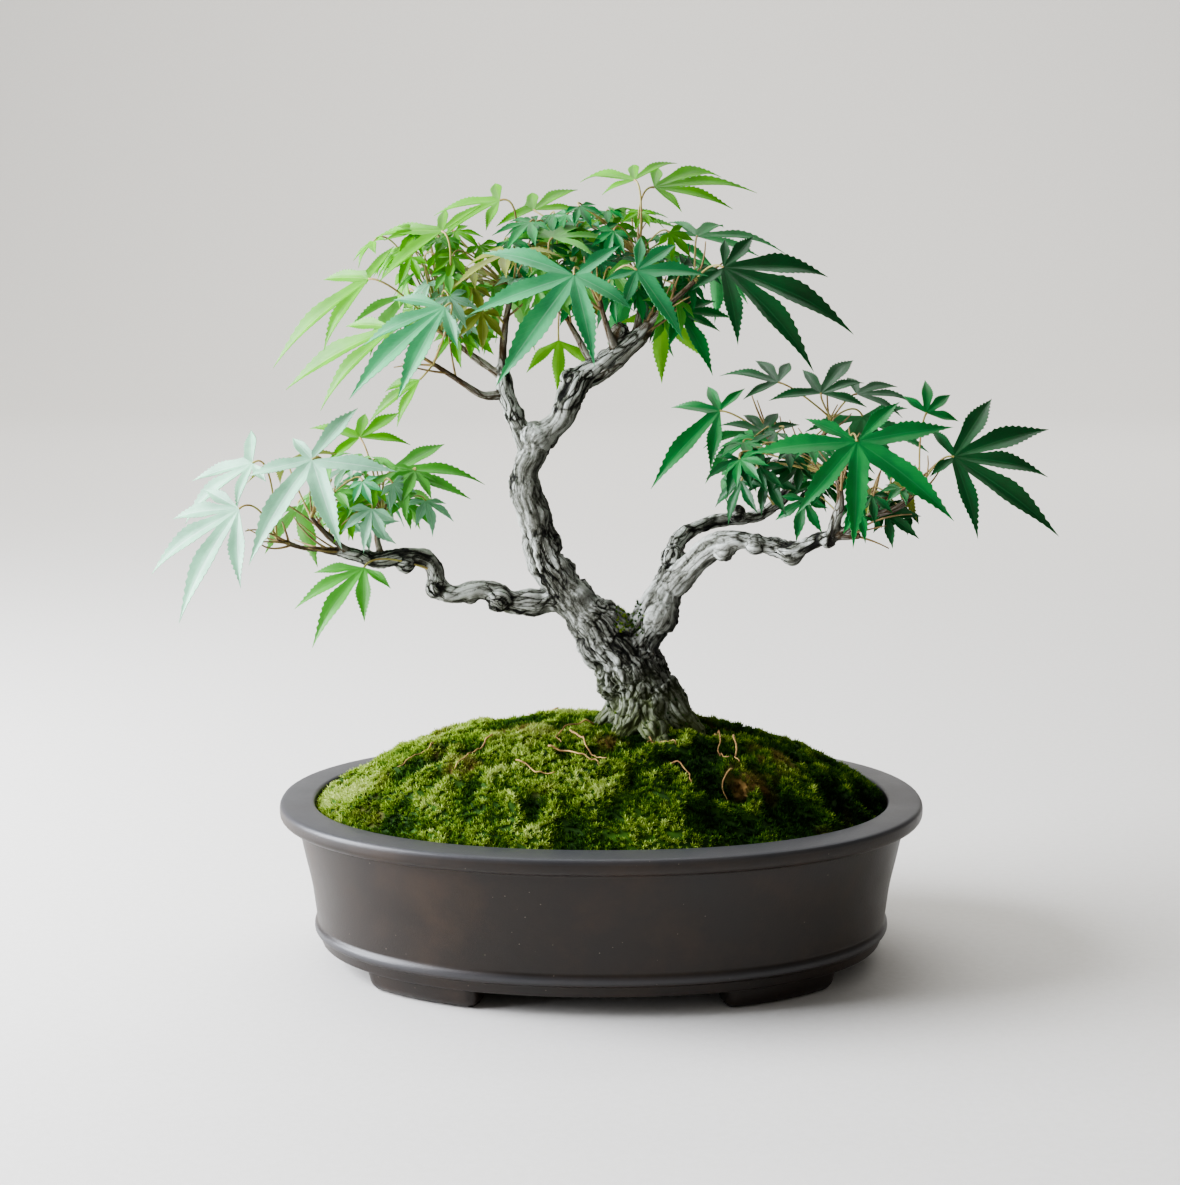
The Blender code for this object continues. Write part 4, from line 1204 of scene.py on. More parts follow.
    def foot_ends(self, pot: bpy.types.Object) -> set[int]:
        """Return the upright edges at the ends of the feet.

        Args:
            pot: The pot with its feet.

        Returns:
            Numbers of the edges.
        """
        faces_of: dict[int, list[Vector]] = {}
        keys = {tuple(sorted(edge.vertices)): edge.index for edge in pot.data.edges}
        for face in pot.data.polygons:
            for key in face.edge_keys:
                faces_of.setdefault(keys[tuple(sorted(key))], []).append(face.normal.copy())
        ends = set()
        for edge in pot.data.edges:
            low, high = sorted(pot.data.vertices[index].co.z / MM for index in edge.vertices)
            sides = faces_of.get(edge.index, [])
            upright = low < 0.1 and abs(high - self.foot_height) < 0.1 and len(sides) == 2
            if upright and sides[0].angle(sides[1]) > math.radians(50.0):
                ends.add(edge.index)
        return ends

    def carries_foot(self, pot: bpy.types.Object, face: bpy.types.MeshPolygon) -> bool:
        """True for a face of the underside's outer band, in the turn of a foot.

        Args:
            pot: The pot's closed body; not used.
            face: The face to judge.

        Returns:
            Whether a foot grows from it.
        """
        middle = self.base_inset + self.foot_depth / 2.0
        x, y = (abs(value) / MM for value in face.center[:2])
        across, along = x / (OVAL_HALF_LENGTH - middle), y / (OVAL_HALF_WIDTH - middle)
        turn = math.degrees(math.atan2(along ** (OVAL_POWER / 2.0), across ** (OVAL_POWER / 2.0)))
        in_band = abs(math.hypot(across, along) - 1.0) < 0.09 and len(face.vertices) == 4
        at_level = abs(face.center.z / MM - self.foot_height) < 0.3
        return at_level and in_band and self.foot_turn[0] < turn < self.foot_turn[1]

    def drill(self, pot: bpy.types.Object, x: float) -> None:
        """Cut one drainage hole through the floor.

        Args:
            pot: The pot.
            x: The hole's place along the pot, in millimetres.
        """
        deselect()
        bpy.ops.mesh.primitive_cylinder_add(vertices=40, radius=self.drain_radius * MM, depth=0.04,
                                            location=(x * MM, 0.0, self.floor_top * MM))
        cutter = bpy.context.active_object
        apply_modifier(pot, "BOOLEAN", operation="DIFFERENCE", solver="EXACT", object=cutter)
        bpy.data.objects.remove(cutter, do_unlink=True)


def fillet(corners: tuple[tuple[float, float, float], ...]) -> list[tuple[float, float]]:
    """Round the corners of a section.

    Args:
        corners: (inset, height, how far the rounding reaches along each side).

    Returns:
        The section's points, each corner as a short curve.
    """
    points = [corners[0][:2]]
    for before, here, after in zip(corners, corners[1:], corners[2:]):
        middle = Vector(here[:2])
        to_before, to_after = Vector(before[:2]) - middle, Vector(after[:2]) - middle
        reach = min(here[2], 0.45 * to_before.length, 0.45 * to_after.length)
        start = middle + to_before.normalized() * reach
        end = middle + to_after.normalized() * reach
        for share in (0.0, 0.25, 0.5, 0.75, 1.0):
            point = start * (1 - share) ** 2 + middle * 2 * share * (1 - share) + end * share ** 2
            points.append((point.x, point.y))
    points.append(corners[-1][:2])
    return points


# ---------------------------------------------------------------- wood

@dataclass
class MapleWood:
    """Trunk, limbs and twigs as one living piece, with bark relief that runs along each limb."""

    voxel: float = 0.75
    step: float = 2.2
    fibre_width: float = 1.6
    flute_width: float = 4.2
    plate_width: float = 4.4
    crack_width: float = 0.17
    knot_spacing: float = 10.0
    old_wood_top: float = 178.0
    old_wood_fade: float = 40.0
    finish: MapleBark = field(default_factory=MapleBark)

    def build(self) -> bpy.types.Object:
        """Sweep every limb, merge them into one skin and raise the bark on it.

        Returns:
            The wood as one piece.
        """
        tubes, samples = [], []
        runs = [("trunk", TRUNK)] + list(LIMBS.items())
        runs += [(f"buttress_{index}", run) for index, run in enumerate(BUTTRESSES)]
        for number, (name, run) in enumerate(runs):
            route = self.swell(smooth_route(run, self.step), number)
            tubes.append(tube(name, route, 16 if run[0][3] > 5 else 8))
            samples += self.limb_samples(route)
        for x, y, z, width in BURLS:
            deselect()
            bpy.ops.mesh.primitive_ico_sphere_add(subdivisions=3, radius=width * MM / 2,
                                                  location=(x * MM, y * MM, z * MM))
            lump = bpy.context.active_object
            bpy.ops.object.transform_apply(location=True, rotation=True, scale=True)
            tubes.append(lump)
        wood = join(tubes, "maple_wood")
        apply_modifier(wood, "REMESH", mode="VOXEL", voxel_size=self.voxel * MM)
        apply_modifier(wood, "SMOOTH", factor=0.5, iterations=2)
        self.raise_bark(wood, samples)
        activate(wood)
        bpy.ops.object.shade_smooth()
        return wood

    def swell(self, route: list[tuple[float, ...]], number: int) -> list[tuple[float, ...]]:
        """Vary a limb's thickness and course a little, as growth does.

        Args:
            route: The limb as (x, y, z, thickness).
            number: The limb's number, which picks its own waves.

        Returns:
            The route with closer points.
        """
        rows = np.array(route)
        along = np.concatenate([[0.0],
                                np.cumsum(np.linalg.norm(np.diff(rows[:, :3], axis=0), axis=1))])
        probe = np.stack([along, np.full_like(along, 37.0 * number), np.zeros_like(along)], axis=1)
        rows[:, 3] *= 1.0 + 0.13 * value_noise(probe, 7.0, Seed.GIRTH)
        fade = np.clip(np.minimum(along / 8.0, (along[-1] - along) / 8.0), 0.0, 1.0)
        for axis in range(3):
            wander = value_noise(probe, 9.0, Seed.COURSE + axis)
            rows[:, axis] += fade * 0.07 * np.minimum(rows[:, 3], 12.0) * wander
        return [tuple(row) for row in rows]

    def limb_samples(self, route: list[tuple[float, ...]]) -> list[tuple[np.ndarray, ...]]:
        """Return centre, direction, two side directions, distance along and radius at each step.

        Args:
            route: The limb as (x, y, z, thickness).

        Returns:
            One row for each step along the limb.
        """
        rows = np.array(route)
        centres, radii = rows[:, :3], rows[:, 3] / 2.0
        directions = np.gradient(centres, axis=0)
        directions /= np.linalg.norm(directions, axis=1, keepdims=True)
        along = np.concatenate([[0.0], np.cumsum(np.linalg.norm(np.diff(centres, axis=0), axis=1))])
        side = np.cross(directions[0], [0.3, 1.0, 0.2])
        side /= np.linalg.norm(side)
        samples = []
        for centre, direction, distance, radius in zip(centres, directions, along, radii):
            side = side - direction * float(side @ direction)
            side /= np.linalg.norm(side)
            samples.append((centre, direction, side, np.cross(direction, side), distance, radius))
        return samples

    def raise_bark(self, wood: bpy.types.Object, samples: list[tuple[np.ndarray, ...]]) -> None:
        """Find each vertex's limb, lay the grain along it and move the bark in and out.

        Args:
            wood: The merged skin.
            samples: What limb_samples gave for each limb.
        """
        tree = KDTree(len(samples))
        for index, sample in enumerate(samples):
            tree.insert(Vector(sample[0]), index)
        tree.balance()
        points = coordinates(wood)
        grain = np.empty_like(points)
        girth = np.empty(len(points))
        for index, point in enumerate(points):
            best = min(tree.find_n(Vector(point), 6),
                       key=lambda found: found[2] - samples[found[1]][5])
            centre, direction, side, other, distance, radius = samples[best[1]]
            offset = point - centre
            grain[index] = (offset @ side, offset @ other, distance + offset @ direction)
            girth[index] = 2.0 * radius
        sway = np.stack([value_noise(points, 5.0, Seed.SWAY + axis) for axis in range(3)], axis=1)
        long_grain = grain * np.array([1.0, 1.0, 0.13]) + 0.5 * sway
        fibres = value_noise(long_grain, self.fibre_width, Seed.FIBRES)
        flutes = value_noise(long_grain, self.flute_width, Seed.FLUTES)
        crack, plate = cracked(grain * np.array([1.0, 1.0, 0.26]) + 1.1 * sway, self.plate_width,
                               Seed.PLATES)
        fine = value_noise(points, 1.3, Seed.CRUMBS)
        small_lumps = value_noise(points, 4.2, Seed.SMALL_LUMPS)
        lumps = value_noise(points, 8.0, Seed.LUMPS) + 0.6 * small_lumps
        size = np.clip(girth / 15.0, 0.16, 1.25)
        knots = np.clip(0.5 + 1.4 * value_noise(points, self.knot_spacing, Seed.KNOTS), 0.0, 1.0)
        low = np.clip((self.old_wood_top - points[:, 2]) / self.old_wood_fade, 0.0, 1.0)
        slim = np.clip((12.5 - girth) / 6.0, 0.0, 1.0)
        wear = np.clip(np.maximum(knots, np.maximum(0.85 * low, 0.85 * slim)), 0.3, 1.0)
        plates = 1.0 - wear * (1.0 - np.clip(crack / self.crack_width, 0.0, 1.0))
        rough = 1.0 * (plates - 0.8) + 0.8 * (plate - 0.5) + 0.7 * fine
        height = size * (wear * rough + 0.5 * fibres + 0.8 * flutes)
        height += size * (0.6 + 0.5 * wear) * lumps
        twig = np.clip((girth - 2.2) / 2.5, 0.12, 1.0)
        outward = normals(wood)
        # painted shade side: strongest where the bark faces +X, away from the key light, and where
        # it faces down
        lee = np.clip(0.15 + 0.75 * outward[:, 0] - 0.3 * outward[:, 2] + 0.2 * flutes, 0.0, 0.85)
        set_coordinates(wood, points + outward * (height * twig)[:, None])
        store(wood, "lee", lee)
        store(wood, "grain", long_grain * MM)
        relief = 0.1 + 0.6 * plates + 0.2 * fibres + 0.18 * flutes + 0.16 * (plate - 0.5)
        store(wood, "relief", np.clip(relief, 0.0, 1.0))
        store(wood, "wear", wear)
        store(wood, "girth", girth)


# ---------------------------------------------------------------- leaves

@dataclass
class MapleLeaf:
    """One leaf: five to seven toothed lobes, folded along their midribs, on its petiole."""

    name: str
    plan: LeafPlan
    thickness: float = 0.2
    sinus_share: float = 0.25
    fold: float = 0.42
    droop: float = 0.15
    tooth: float = 0.5
    inner_rows: int = 3
    outer_rows: int = 26
    petiole_width: float = 0.9
    foot: tuple[float, float, float] | None = None

    def build(self) -> bpy.types.Object:
        """Model each lobe from a grid, join and thicken them, and grow the petiole.

        Returns:
            The blade and its petiole as one piece.
        """
        own_seed = sum(ord(letter) * (place + 7) for place, letter in enumerate(self.name))
        chance = np.random.default_rng(own_seed)
        lobes, petiole_bearing = self.ordered_lobes()
        strips = []
        for index, (bearing, length) in enumerate(lobes):
            before = self.gap(lobes, index - 1) if index else None
            after = self.gap(lobes, index) if index + 1 < len(lobes) else None
            strips.append(self.lobe(bearing, length, before, after, chance))
        blade = join(strips, self.name)
        close_and_orient(blade, 0.00002)
        self.face_up(blade)
        blade.data.materials.clear()
        skin = LEAF_SKINS[self.plan.tone]
        tone = self.plan.tone.value
        blade.data.materials.append(shared(f"leaf_face_{tone}", lambda: skin.material(tone)))
        blade.data.materials.append(shared(f"leaf_underside_{tone}",
                                           lambda: skin.material(tone, True)))
        apply_modifier(blade, "SOLIDIFY", thickness=self.thickness * MM, offset=0.0,
                       material_offset=1, material_offset_rim=0)
        stalk = self.petiole(petiole_bearing)
        stalk.data.materials.append(shared("leaf_petiole", PETIOLE_SKIN.material))
        leaf = join([blade, stalk], self.name)
        activate(leaf)
        bpy.ops.object.shade_smooth_by_angle(angle=math.radians(50.0))
        return leaf

    def axes(self) -> tuple[Vector, Vector, Vector]:
        """Return the blade's level, upward and outward directions.

        Returns:
            Three unit vectors at right angles to each other.
        """
        outward = Vector(self.plan.facing).normalized()
        level = Vector((0.0, 0.0, 1.0)).cross(outward).normalized()
        return level, outward.cross(level), outward

    def ordered_lobes(self) -> tuple[list[tuple[float, float]], float]:
        """Return the lobes in order round the blade from the petiole's side, and its bearing.

        Returns:
            The lobes as (bearing in radians, length), and the petiole's bearing in radians.
        """
        lobes = sorted(self.plan.lobes)
        gaps = [(lobes[(i + 1) % len(lobes)][0] - lobes[i][0]) % 360 for i in range(len(lobes))]
        widest = gaps.index(max(gaps))
        turned = lobes[widest + 1:] + lobes[:widest + 1]
        return turned, math.radians(turned[-1][0] + gaps[widest] / 2.0)

    def gap(self, lobes: list[tuple[float, float]], index: int) -> tuple[float, float]:
        """Return half the angle between a lobe and the next, and how far out their sinus lies.

        Args:
            lobes: The lobes in order.
            index: The first lobe of the two.

        Returns:
            Half the angle in radians, and the sinus's distance from the blade's centre.
        """
        here, after = lobes[index], lobes[index + 1]
        half = math.radians((after[0] - here[0]) % 360) / 2.0
        return half, self.sinus_share * min(here[1], after[1])

    def half_width(self, length: float, shares: np.ndarray, side: tuple[float, float] | None,
                   crowd: float) -> np.ndarray:
        """Return half the lobe's width at shares of its length.

        Args:
            length: The lobe's length.
            shares: Places along the midrib, from 0 to 1.
            side: The sinus on this side, or None beside the petiole.
            crowd: The most that the neighbours leave for half the width.

        Returns:
            One half width for each share.
        """
        widest = min(0.078 * length + 1.0, crowd)
        if side is None:
            start, start_width = 0.0, 0.0
        else:
            half, reach = side
            start, start_width = reach * math.cos(half) / length, reach * math.sin(half)
        knots = np.array([(start, start_width),
                          (start + 0.5 * (0.47 - start), 0.45 * start_width + 0.5 * widest),
                          (0.47, widest), (0.57, 0.95 * widest), (0.68, 0.72 * widest),
                          (0.78, 0.44 * widest), (0.87, 0.22 * widest),
                          (0.94, 0.1 * widest), (1.0, 0.0)])
        return np.interp(shares, knots[:, 0], knots[:, 1])

    def lobe(self, bearing: float, length: float, before: tuple[float, float] | None,
             after: tuple[float, float] | None, chance: np.random.Generator) -> bpy.types.Object:
        """Shape one lobe from a grid whose rows run across it.

        Args:
            bearing: The midrib's bearing in degrees.
            length: From the petiole to the tip.
            before: Half angle and reach of the sinus on the clockwise side, or None.
            after: The same on the other side.
            chance: Source of this leaf's small differences.

        Returns:
            The lobe as a sheet of faces.
        """
        rows = self.inner_rows + self.outer_rows
        deselect()
        bpy.ops.mesh.primitive_grid_add(x_subdivisions=4, y_subdivisions=rows, size=2.0 * MM)
        strip = bpy.context.active_object
        middle = math.radians(bearing)
        along = np.array([math.cos(middle), math.sin(middle)])
        across = np.array([math.sin(middle), -math.cos(middle)])
        sway = chance.uniform(-0.06, 0.06)
        twist = chance.uniform(-0.25, 0.25)
        curl = chance.uniform(0.0, 0.10)
        longest = max(reach for _, reach in self.plan.lobes)
        sinus = [side[1] * math.cos(side[0]) / length for side in (before, after) if side]
        join_share = max(sinus) if sinus else 0.12
        inner = np.linspace(0.0, join_share, self.inner_rows + 1)
        outer = np.linspace(join_share, 1.0, self.outer_rows + 1)[1:]
        shares = np.concatenate([inner, outer])
        flat = np.zeros((rows + 1, 5, 3))
        for side, sign in ((before, 1.0), (after, -1.0)):
            crowd = 9.9 if side is None else math.tan(side[0]) * 0.5 * length * 0.92
            widths = self.half_width(length, shares, side, crowd)
            toothed = self.teeth(shares, widths, length, join_share)
            for row, share in enumerate(shares):
                lean = max(0.0, share - join_share)
                offset = sway * length * lean ** 2
                for column, part in ((0, 1.0), (1, 0.5)):
                    column = column if sign > 0 else 4 - column
                    width, forward = toothed[row] if part == 1.0 else (widths[row], 0.0)
                    if side is not None and row <= self.inner_rows:
                        ray_share = row / self.inner_rows
                        reach = side[1] * ray_share
                        width = reach * math.sin(side[0])
                        forward = reach * math.cos(side[0]) - share * length
                    if part == 0.5:
                        forward *= 0.5
                    spot = along * (share * length + forward) + across * (sign * width * part
                                                                          + offset)
                    trough = self.fold * width * part * min(1.0, 0.35 + share * 1.6)
                    rise = trough + twist * sign * width * part * lean
                    flat[row, column] = (*spot, rise)
                flat[row, 2] = (*(along * share * length + across * offset), 0.0)
        distance = np.linalg.norm(flat[:, :, :2], axis=2)
        sag = self.droop * distance ** 2 / longest
        hook = curl * length * np.maximum(0.0, shares - 0.5)[:, None] ** 2 * 4
        flat[:, :, 2] -= sag + hook
        level, upward, outward = (np.array(axis) for axis in self.axes())
        placed = np.array(self.plan.at) + flat @ np.stack([level, upward, outward])
        set_coordinates(strip, placed.reshape(-1, 3))
        return strip

    def teeth(self, shares: np.ndarray, widths: np.ndarray, length: float,
              start: float) -> list[tuple[float, float]]:
        """Return each row's margin as (half width, shift towards the tip), with saw teeth cut in.

        Args:
            shares: How far out each row lies, from 0 to 1.
            widths: Each row's smooth half width.
            length: The lobe's length.
            start: Where the lobe leaves its neighbours, from 0 to 1.

        Returns:
            One (half width, shift) for each row.
        """
        margin = []
        for row, (share, width) in enumerate(zip(shares, widths)):
            onset = np.clip((share - start - 0.06) / 0.1, 0.0, 1.0)
            strength = onset * np.clip((0.95 - share) / 0.12, 0.0, 1.0)
            bite = self.tooth * strength * min(1.0, length / 30.0)
            if row % 2:
                margin.append((width + bite, 0.9 * bite))
            else:
                margin.append((max(width - 0.25 * bite, 0.0), 0.0))
        return margin

    def face_up(self, blade: bpy.types.Object) -> None:
        """Turn the sheet's faces to the upper side.

        Args:
            blade: The flat sheet of the blade.
        """
        outward = self.axes()[2]
        total = sum((face.normal * face.area for face in blade.data.polygons), Vector())
        if total.dot(outward) < 0.0:
            blade.data.flip_normals()

    def petiole(self, bearing: float) -> bpy.types.Object:
        """Sweep the petiole from the twig's tip to the blade in one easy curve.

        Args:
            bearing: The petiole's bearing on the blade, in radians.

        Returns:
            The petiole.
        """
        level, upward, _ = self.axes()
        stalk = level * math.cos(bearing) + upward * math.sin(bearing)
        centre = Vector(self.plan.at)
        if self.foot is not None:
            foot = Vector(self.foot)
        else:
            tip = LIMBS[self.plan.twig][-1][:3] if self.plan.twig in LIMBS else LOW_LEAF_FOOT
            foot = Vector(tip)
        length = (foot - centre).length
        bend = centre + stalk * length * 0.3 + Vector((0.0, 0.0, 0.06 * length))
        route = []
        for share in np.linspace(0.0, 1.0, 15):
            point = centre * (1 - share) ** 2 + bend * 2 * share * (1 - share) + foot * share ** 2
            swell = 0.5 * max(0.0, share - 0.85) / 0.15 + 0.25 * max(0.0, 0.1 - share) / 0.1
            route.append((*point, self.petiole_width * (1.0 + swell)))
        return tube(self.name + "_petiole", route, 8)


SHARED: dict[str, bpy.types.Material] = {}


def shared(name: str, make: Callable[[], bpy.types.Material]) -> bpy.types.Material:
    """Return a material made once and used by many pieces."""
    if name not in SHARED:
        SHARED[name] = make()
    return SHARED[name]


@dataclass(frozen=True)
class Thicket:
    """A cloud of small inner leaves round one part of the crown."""

    name: str
    centre: tuple[float, float, float]
    reach: tuple[float, float, float]
    leaves: int
    tones: tuple[Tone, ...]


THICKETS = (
    Thicket("crown_left", (-66.0, 2.0, 309.0), (34.0, 22.0, 18.0), 22,
            (Tone.SPRING, Tone.SOFT, Tone.OLIVE, Tone.PALE)),
    Thicket("crown_upper_left", (-76.0, 6.0, 329.0), (30.0, 22.0, 13.0), 16,
            (Tone.SPRING, Tone.SPRING, Tone.SOFT)),
    Thicket("crown_top", (2.0, 8.0, 342.0), (42.0, 24.0, 9.0), 12,
            (Tone.SOFT, Tone.FRESH, Tone.SPRING)),
    Thicket("crown_middle", (-18.0, 8.0, 327.0), (38.0, 26.0, 21.0), 32,
            (Tone.SOFT, Tone.FRESH, Tone.MINT, Tone.OLIVE)),
    Thicket("crown_right", (22.0, 10.0, 319.0), (32.0, 24.0, 20.0), 22,
            (Tone.FRESH, Tone.DEEP, Tone.SOFT)),
    Thicket("left", (-108.0, -2.0, 222.0), (32.0, 18.0, 16.0), 24,
            (Tone.SOFT, Tone.PALE, Tone.SPRING, Tone.MINT)),
    Thicket("right", (88.0, -8.0, 232.0), (40.0, 24.0, 16.0), 26,
            (Tone.DEEP, Tone.FRESH, Tone.DEEP)),
    Thicket("far_right", (128.0, -22.0, 218.0), (18.0, 14.0, 11.0), 8,
            (Tone.DEEP, Tone.OLIVE, Tone.FRESH)),
)


@dataclass
class InnerFoliage:
    """The small leaves and bare petioles that fill the crown between the large leaves."""

    seed: int = 19
    spacing: float = 7.5
    slim_twig: float = 6.0
    lobe_spread: tuple[tuple[float, float], ...] = ((0, 1.0), (40, 0.86), (-40, 0.86), (84, 0.56),
                                                    (-84, 0.56))

    def build(self) -> list[bpy.types.Object]:
        """Grow each thicket's leaves from the nearest slim twigs and join them.

        Returns:
            The pieces.
        """
        taken = [np.array(plan.at) for plan in LEAVES.values()]
        feet = [np.array(point[:3], float) for run in LIMBS.values() for point in run
                if point[3] <= self.slim_twig]
        pieces = []
        for number, thicket in enumerate(THICKETS):
            chance = np.random.default_rng(self.seed + number)
            grown: list[bpy.types.Object] = []
            for _ in range(thicket.leaves * 12):
                if len(grown) == thicket.leaves:
                    break
                way = chance.normal(0.0, 1.0, 3)
                way /= np.linalg.norm(way)
                way_out = way * np.array(thicket.reach) * chance.uniform(0.35, 1.0)
                spot = np.array(thicket.centre) + way_out
                if min(float(np.linalg.norm(spot - other)) for other in taken) < self.spacing:
                    continue
                taken.append(spot)
                grown.append(self.small_leaf(f"{thicket.name}_{len(grown)}", spot, way, feet,
                                             thicket, chance))
            pieces.append(join(grown, "inner_leaves_" + thicket.name))
        return pieces

    def build_twiglets(self) -> bpy.types.Object:
        """Grow a spray of bare, kinked twiglets from every slim twig.

        Returns:
            All the twiglets as one piece.
        """
        chance = np.random.default_rng(self.seed - 1)
        sprays = []
        for name, run in LIMBS.items():
            if name == "dead_stub" or run[-1][3] > self.slim_twig:
                continue
            start, end = np.array(run[-2][:3], float), np.array(run[-1][:3], float)
            onward = (end - start) / np.linalg.norm(end - start)
            for number in range(5):
                foot = start + (end - start) * chance.uniform(0.0, 1.0)
                way = onward + chance.normal(0.0, 0.45, 3) + np.array([0.0, -0.05, 0.35])
                way /= np.linalg.norm(way)
                reach = chance.uniform(12.0, 30.0)
                bend = chance.normal(0.0, 0.12, 3) * reach
                route = [(*(foot + way * reach * share + bend * share * (1.0 - share) * 2.0),
                          1.3 - 0.75 * share)
                         for share in np.linspace(0.0, 1.0, 8)]
                sprays.append(tube(f"twiglet_{name}_{number}", route, 6))
        whole = join(sprays, "bare_twiglets")
        bpy.ops.object.shade_smooth()
        return whole

    def small_leaf(self, name: str, spot: np.ndarray, way: np.ndarray, feet: list[np.ndarray],
                   thicket: Thicket, chance: np.random.Generator) -> bpy.types.Object:
        """Grow one small leaf.

        Args:
            name: The leaf's name.
            spot: Where its blade meets the petiole.
            way: Outward direction from the thicket's middle.
            feet: Places on slim twigs that may carry the petiole.
            thicket: The cloud that it belongs to.
            chance: Source of its differences.

        Returns:
            The leaf with its petiole.
        """
        facing = 0.5 * way + np.array([-0.1, -0.5, 0.75]) + chance.normal(0.0, 0.22, 3)
        length = chance.uniform(13.0, 21.0)
        lead = chance.uniform(-150.0, -30.0)
        lobes = tuple((lead + turn + chance.uniform(-5.0, 5.0), length * share)
                      for turn, share in self.lobe_spread)
        foot = min(feet, key=lambda place: float(np.linalg.norm(place - spot)))
        plan = LeafPlan(tuple(spot), tuple(facing), lobes, "",
                        thicket.tones[int(chance.integers(len(thicket.tones)))])
        leaf = MapleLeaf(name, plan, tooth=0.35, inner_rows=2, outer_rows=12, petiole_width=0.75,
                         foot=tuple(foot))
        return leaf.build()


# ---------------------------------------------------------------- moss

@dataclass
class MossCarpet:
    """The moss mound: a lumpy mat closed beneath and thousands of shoots on it."""

    shoots: int = 25000
    patches: int = 5
    shoot_height: float = 2.1
    seed: int = 7
    finish: Moss = field(default_factory=Moss)
    cushion_spacing: float = 15.0
    tuft_spacing: float = 6.0
    swell_spacing: float = 34.0
    trunk_place: tuple[float, float] = (23.0, 0.0)
    trunk_reach: tuple[float, float] = (20.0, 19.0)
    fork_place: tuple[float, float, float] = (14.0, 0.0, 159.0)
    fork_reach: tuple[float, float, float] = (11.0, 13.0, 9.0)
    bare_patches: tuple[tuple[float, float, float], ...] = (
        (66.0, -52.0, 12.0), (78.0, -28.0, 14.0), (-38.0, -10.0, 15.0), (52.0, 8.0, 10.0),
        (-62.0, -42.0, 10.0), (4.0, -34.0, 9.0))
    master: tuple[np.ndarray, np.ndarray, np.ndarray] | None = None

    def level(self, x: np.ndarray, y: np.ndarray) -> np.ndarray:
        """Return the height of the lumpy mat at places in millimetres.

        Args:
            x: Places along the pot.
            y: Places across the pot.

        Returns:
            The heights in millimetres.
        """
        share = np.minimum(wall_share(x, y), 1.0)
        height = MOSS_EDGE - 1.6 + MOUND_RISE * (1.0 - share ** MOUND_POWER)
        flat = np.stack([x, y, np.zeros_like(x)], axis=1)
        inside = np.clip((1.0 - share) / 0.06, 0.0, 1.0)
        coarse, small = self.cushions_and_tufts(flat)
        lumps = 3.4 * coarse + 1.7 * small + 1.8 * value_noise(flat, self.swell_spacing,
                                                               Seed.SWELLS)
        return height + inside * (lumps - 3.2) - (1.0 - inside) * 1.0

    def cushions_and_tufts(self, flat: np.ndarray) -> tuple[np.ndarray, np.ndarray]:
        """Return the cushions' and the tufts' own rise at places on the level plane.

        Args:
            flat: Places as rows of x, y and zero, in millimetres.

        Returns:
            The two rises in millimetres.
        """
        coarse = 1.0 - np.abs(value_noise(flat, self.cushion_spacing, Seed.CUSHIONS)) * 1.6
        small = 1.0 - np.abs(value_noise(flat, self.tuft_spacing, Seed.TUFTS)) * 1.4
        return coarse, small

    def cushion(self, x: np.ndarray, y: np.ndarray) -> np.ndarray:
        """Return how high on its cushion each place lies: 0 in the hollows, 1 on the crests."""
        coarse, small = self.cushions_and_tufts(np.stack([x, y, np.zeros_like(x)], axis=1))
        return np.clip(0.6 * coarse + 0.4 * small, 0.0, 1.0)

    def build_mat(self) -> bpy.types.Object:
        """Model the mat from the upper half of a sphere laid over the mound.

        Returns:
            The mat.
        """
        deselect()
        bpy.ops.mesh.primitive_uv_sphere_add(segments=240, ring_count=150, radius=1.0)
        mat = bpy.context.active_object
        bpy.ops.object.mode_set(mode="EDIT")
        bpy.ops.mesh.select_all(action="SELECT")
        bpy.ops.mesh.bisect(plane_co=(0.0, 0.0, 0.0001), plane_no=(0.0, 0.0, 1.0), clear_inner=True)
        bpy.ops.object.mode_set(mode="OBJECT")
        values = np.empty(len(mat.data.vertices) * 3, np.float32)
        mat.data.vertices.foreach_get("co", values)
        unit = values.reshape(-1, 3).astype(float)
        turn = np.arctan2(unit[:, 1], unit[:, 0])
        share = np.arccos(np.clip(unit[:, 2], 0.0, 1.0)) / (math.pi / 2.0)
        wall = np.array([oval_point(angle, RIM_WIDTH + 1.4) for angle in turn])
        x, y = wall[:, 0] * share, wall[:, 1] * share
        set_coordinates(mat, np.stack([x, y, self.level(x, y)], axis=1))
        activate(mat)
        bpy.ops.object.mode_set(mode="EDIT")
        bpy.ops.mesh.select_all(action="SELECT")
        bpy.ops.mesh.region_to_loop()
        bpy.ops.mesh.extrude_edges_move(TRANSFORM_OT_translate={"value": (0.0, 0.0, -5.0 * MM)})
        bpy.ops.mesh.edge_face_add()
        bpy.ops.object.mode_set(mode="OBJECT")
        mat.name = "moss_mat"
        close_and_orient(mat)
        points = coordinates(mat)
        store(mat, "dry", self.dryness(points))
        activate(mat)
        bpy.ops.object.shade_smooth()
        return mat

    def dryness(self, points: np.ndarray) -> np.ndarray:
        """Return how brown the moss is at each place: bare patches and a few scattered shoots.

        Args:
            points: Places in millimetres.

        Returns:
            From 0, green, to 1, brown.
        """
        dry = np.zeros(len(points))
        for x, y, radius in self.bare_patches:
            reach = np.hypot(points[:, 0] - x, points[:, 1] - y) / radius
            dry = np.maximum(dry, np.clip(1.1 - reach, 0.0, 1.0))
        flat = points * np.array([1.0, 1.0, 0.0])
        ragged = np.clip(0.5 + value_noise(flat, 4.0, Seed.DRY_EDGE) * 1.4, 0.0, 1.0)
        scattered = np.clip(value_noise(flat, 11.0, Seed.DRY_SHOOTS) - 0.55, 0.0, 1.0)
        return np.clip(dry * 1.3 * ragged + scattered, 0.0, 0.9)

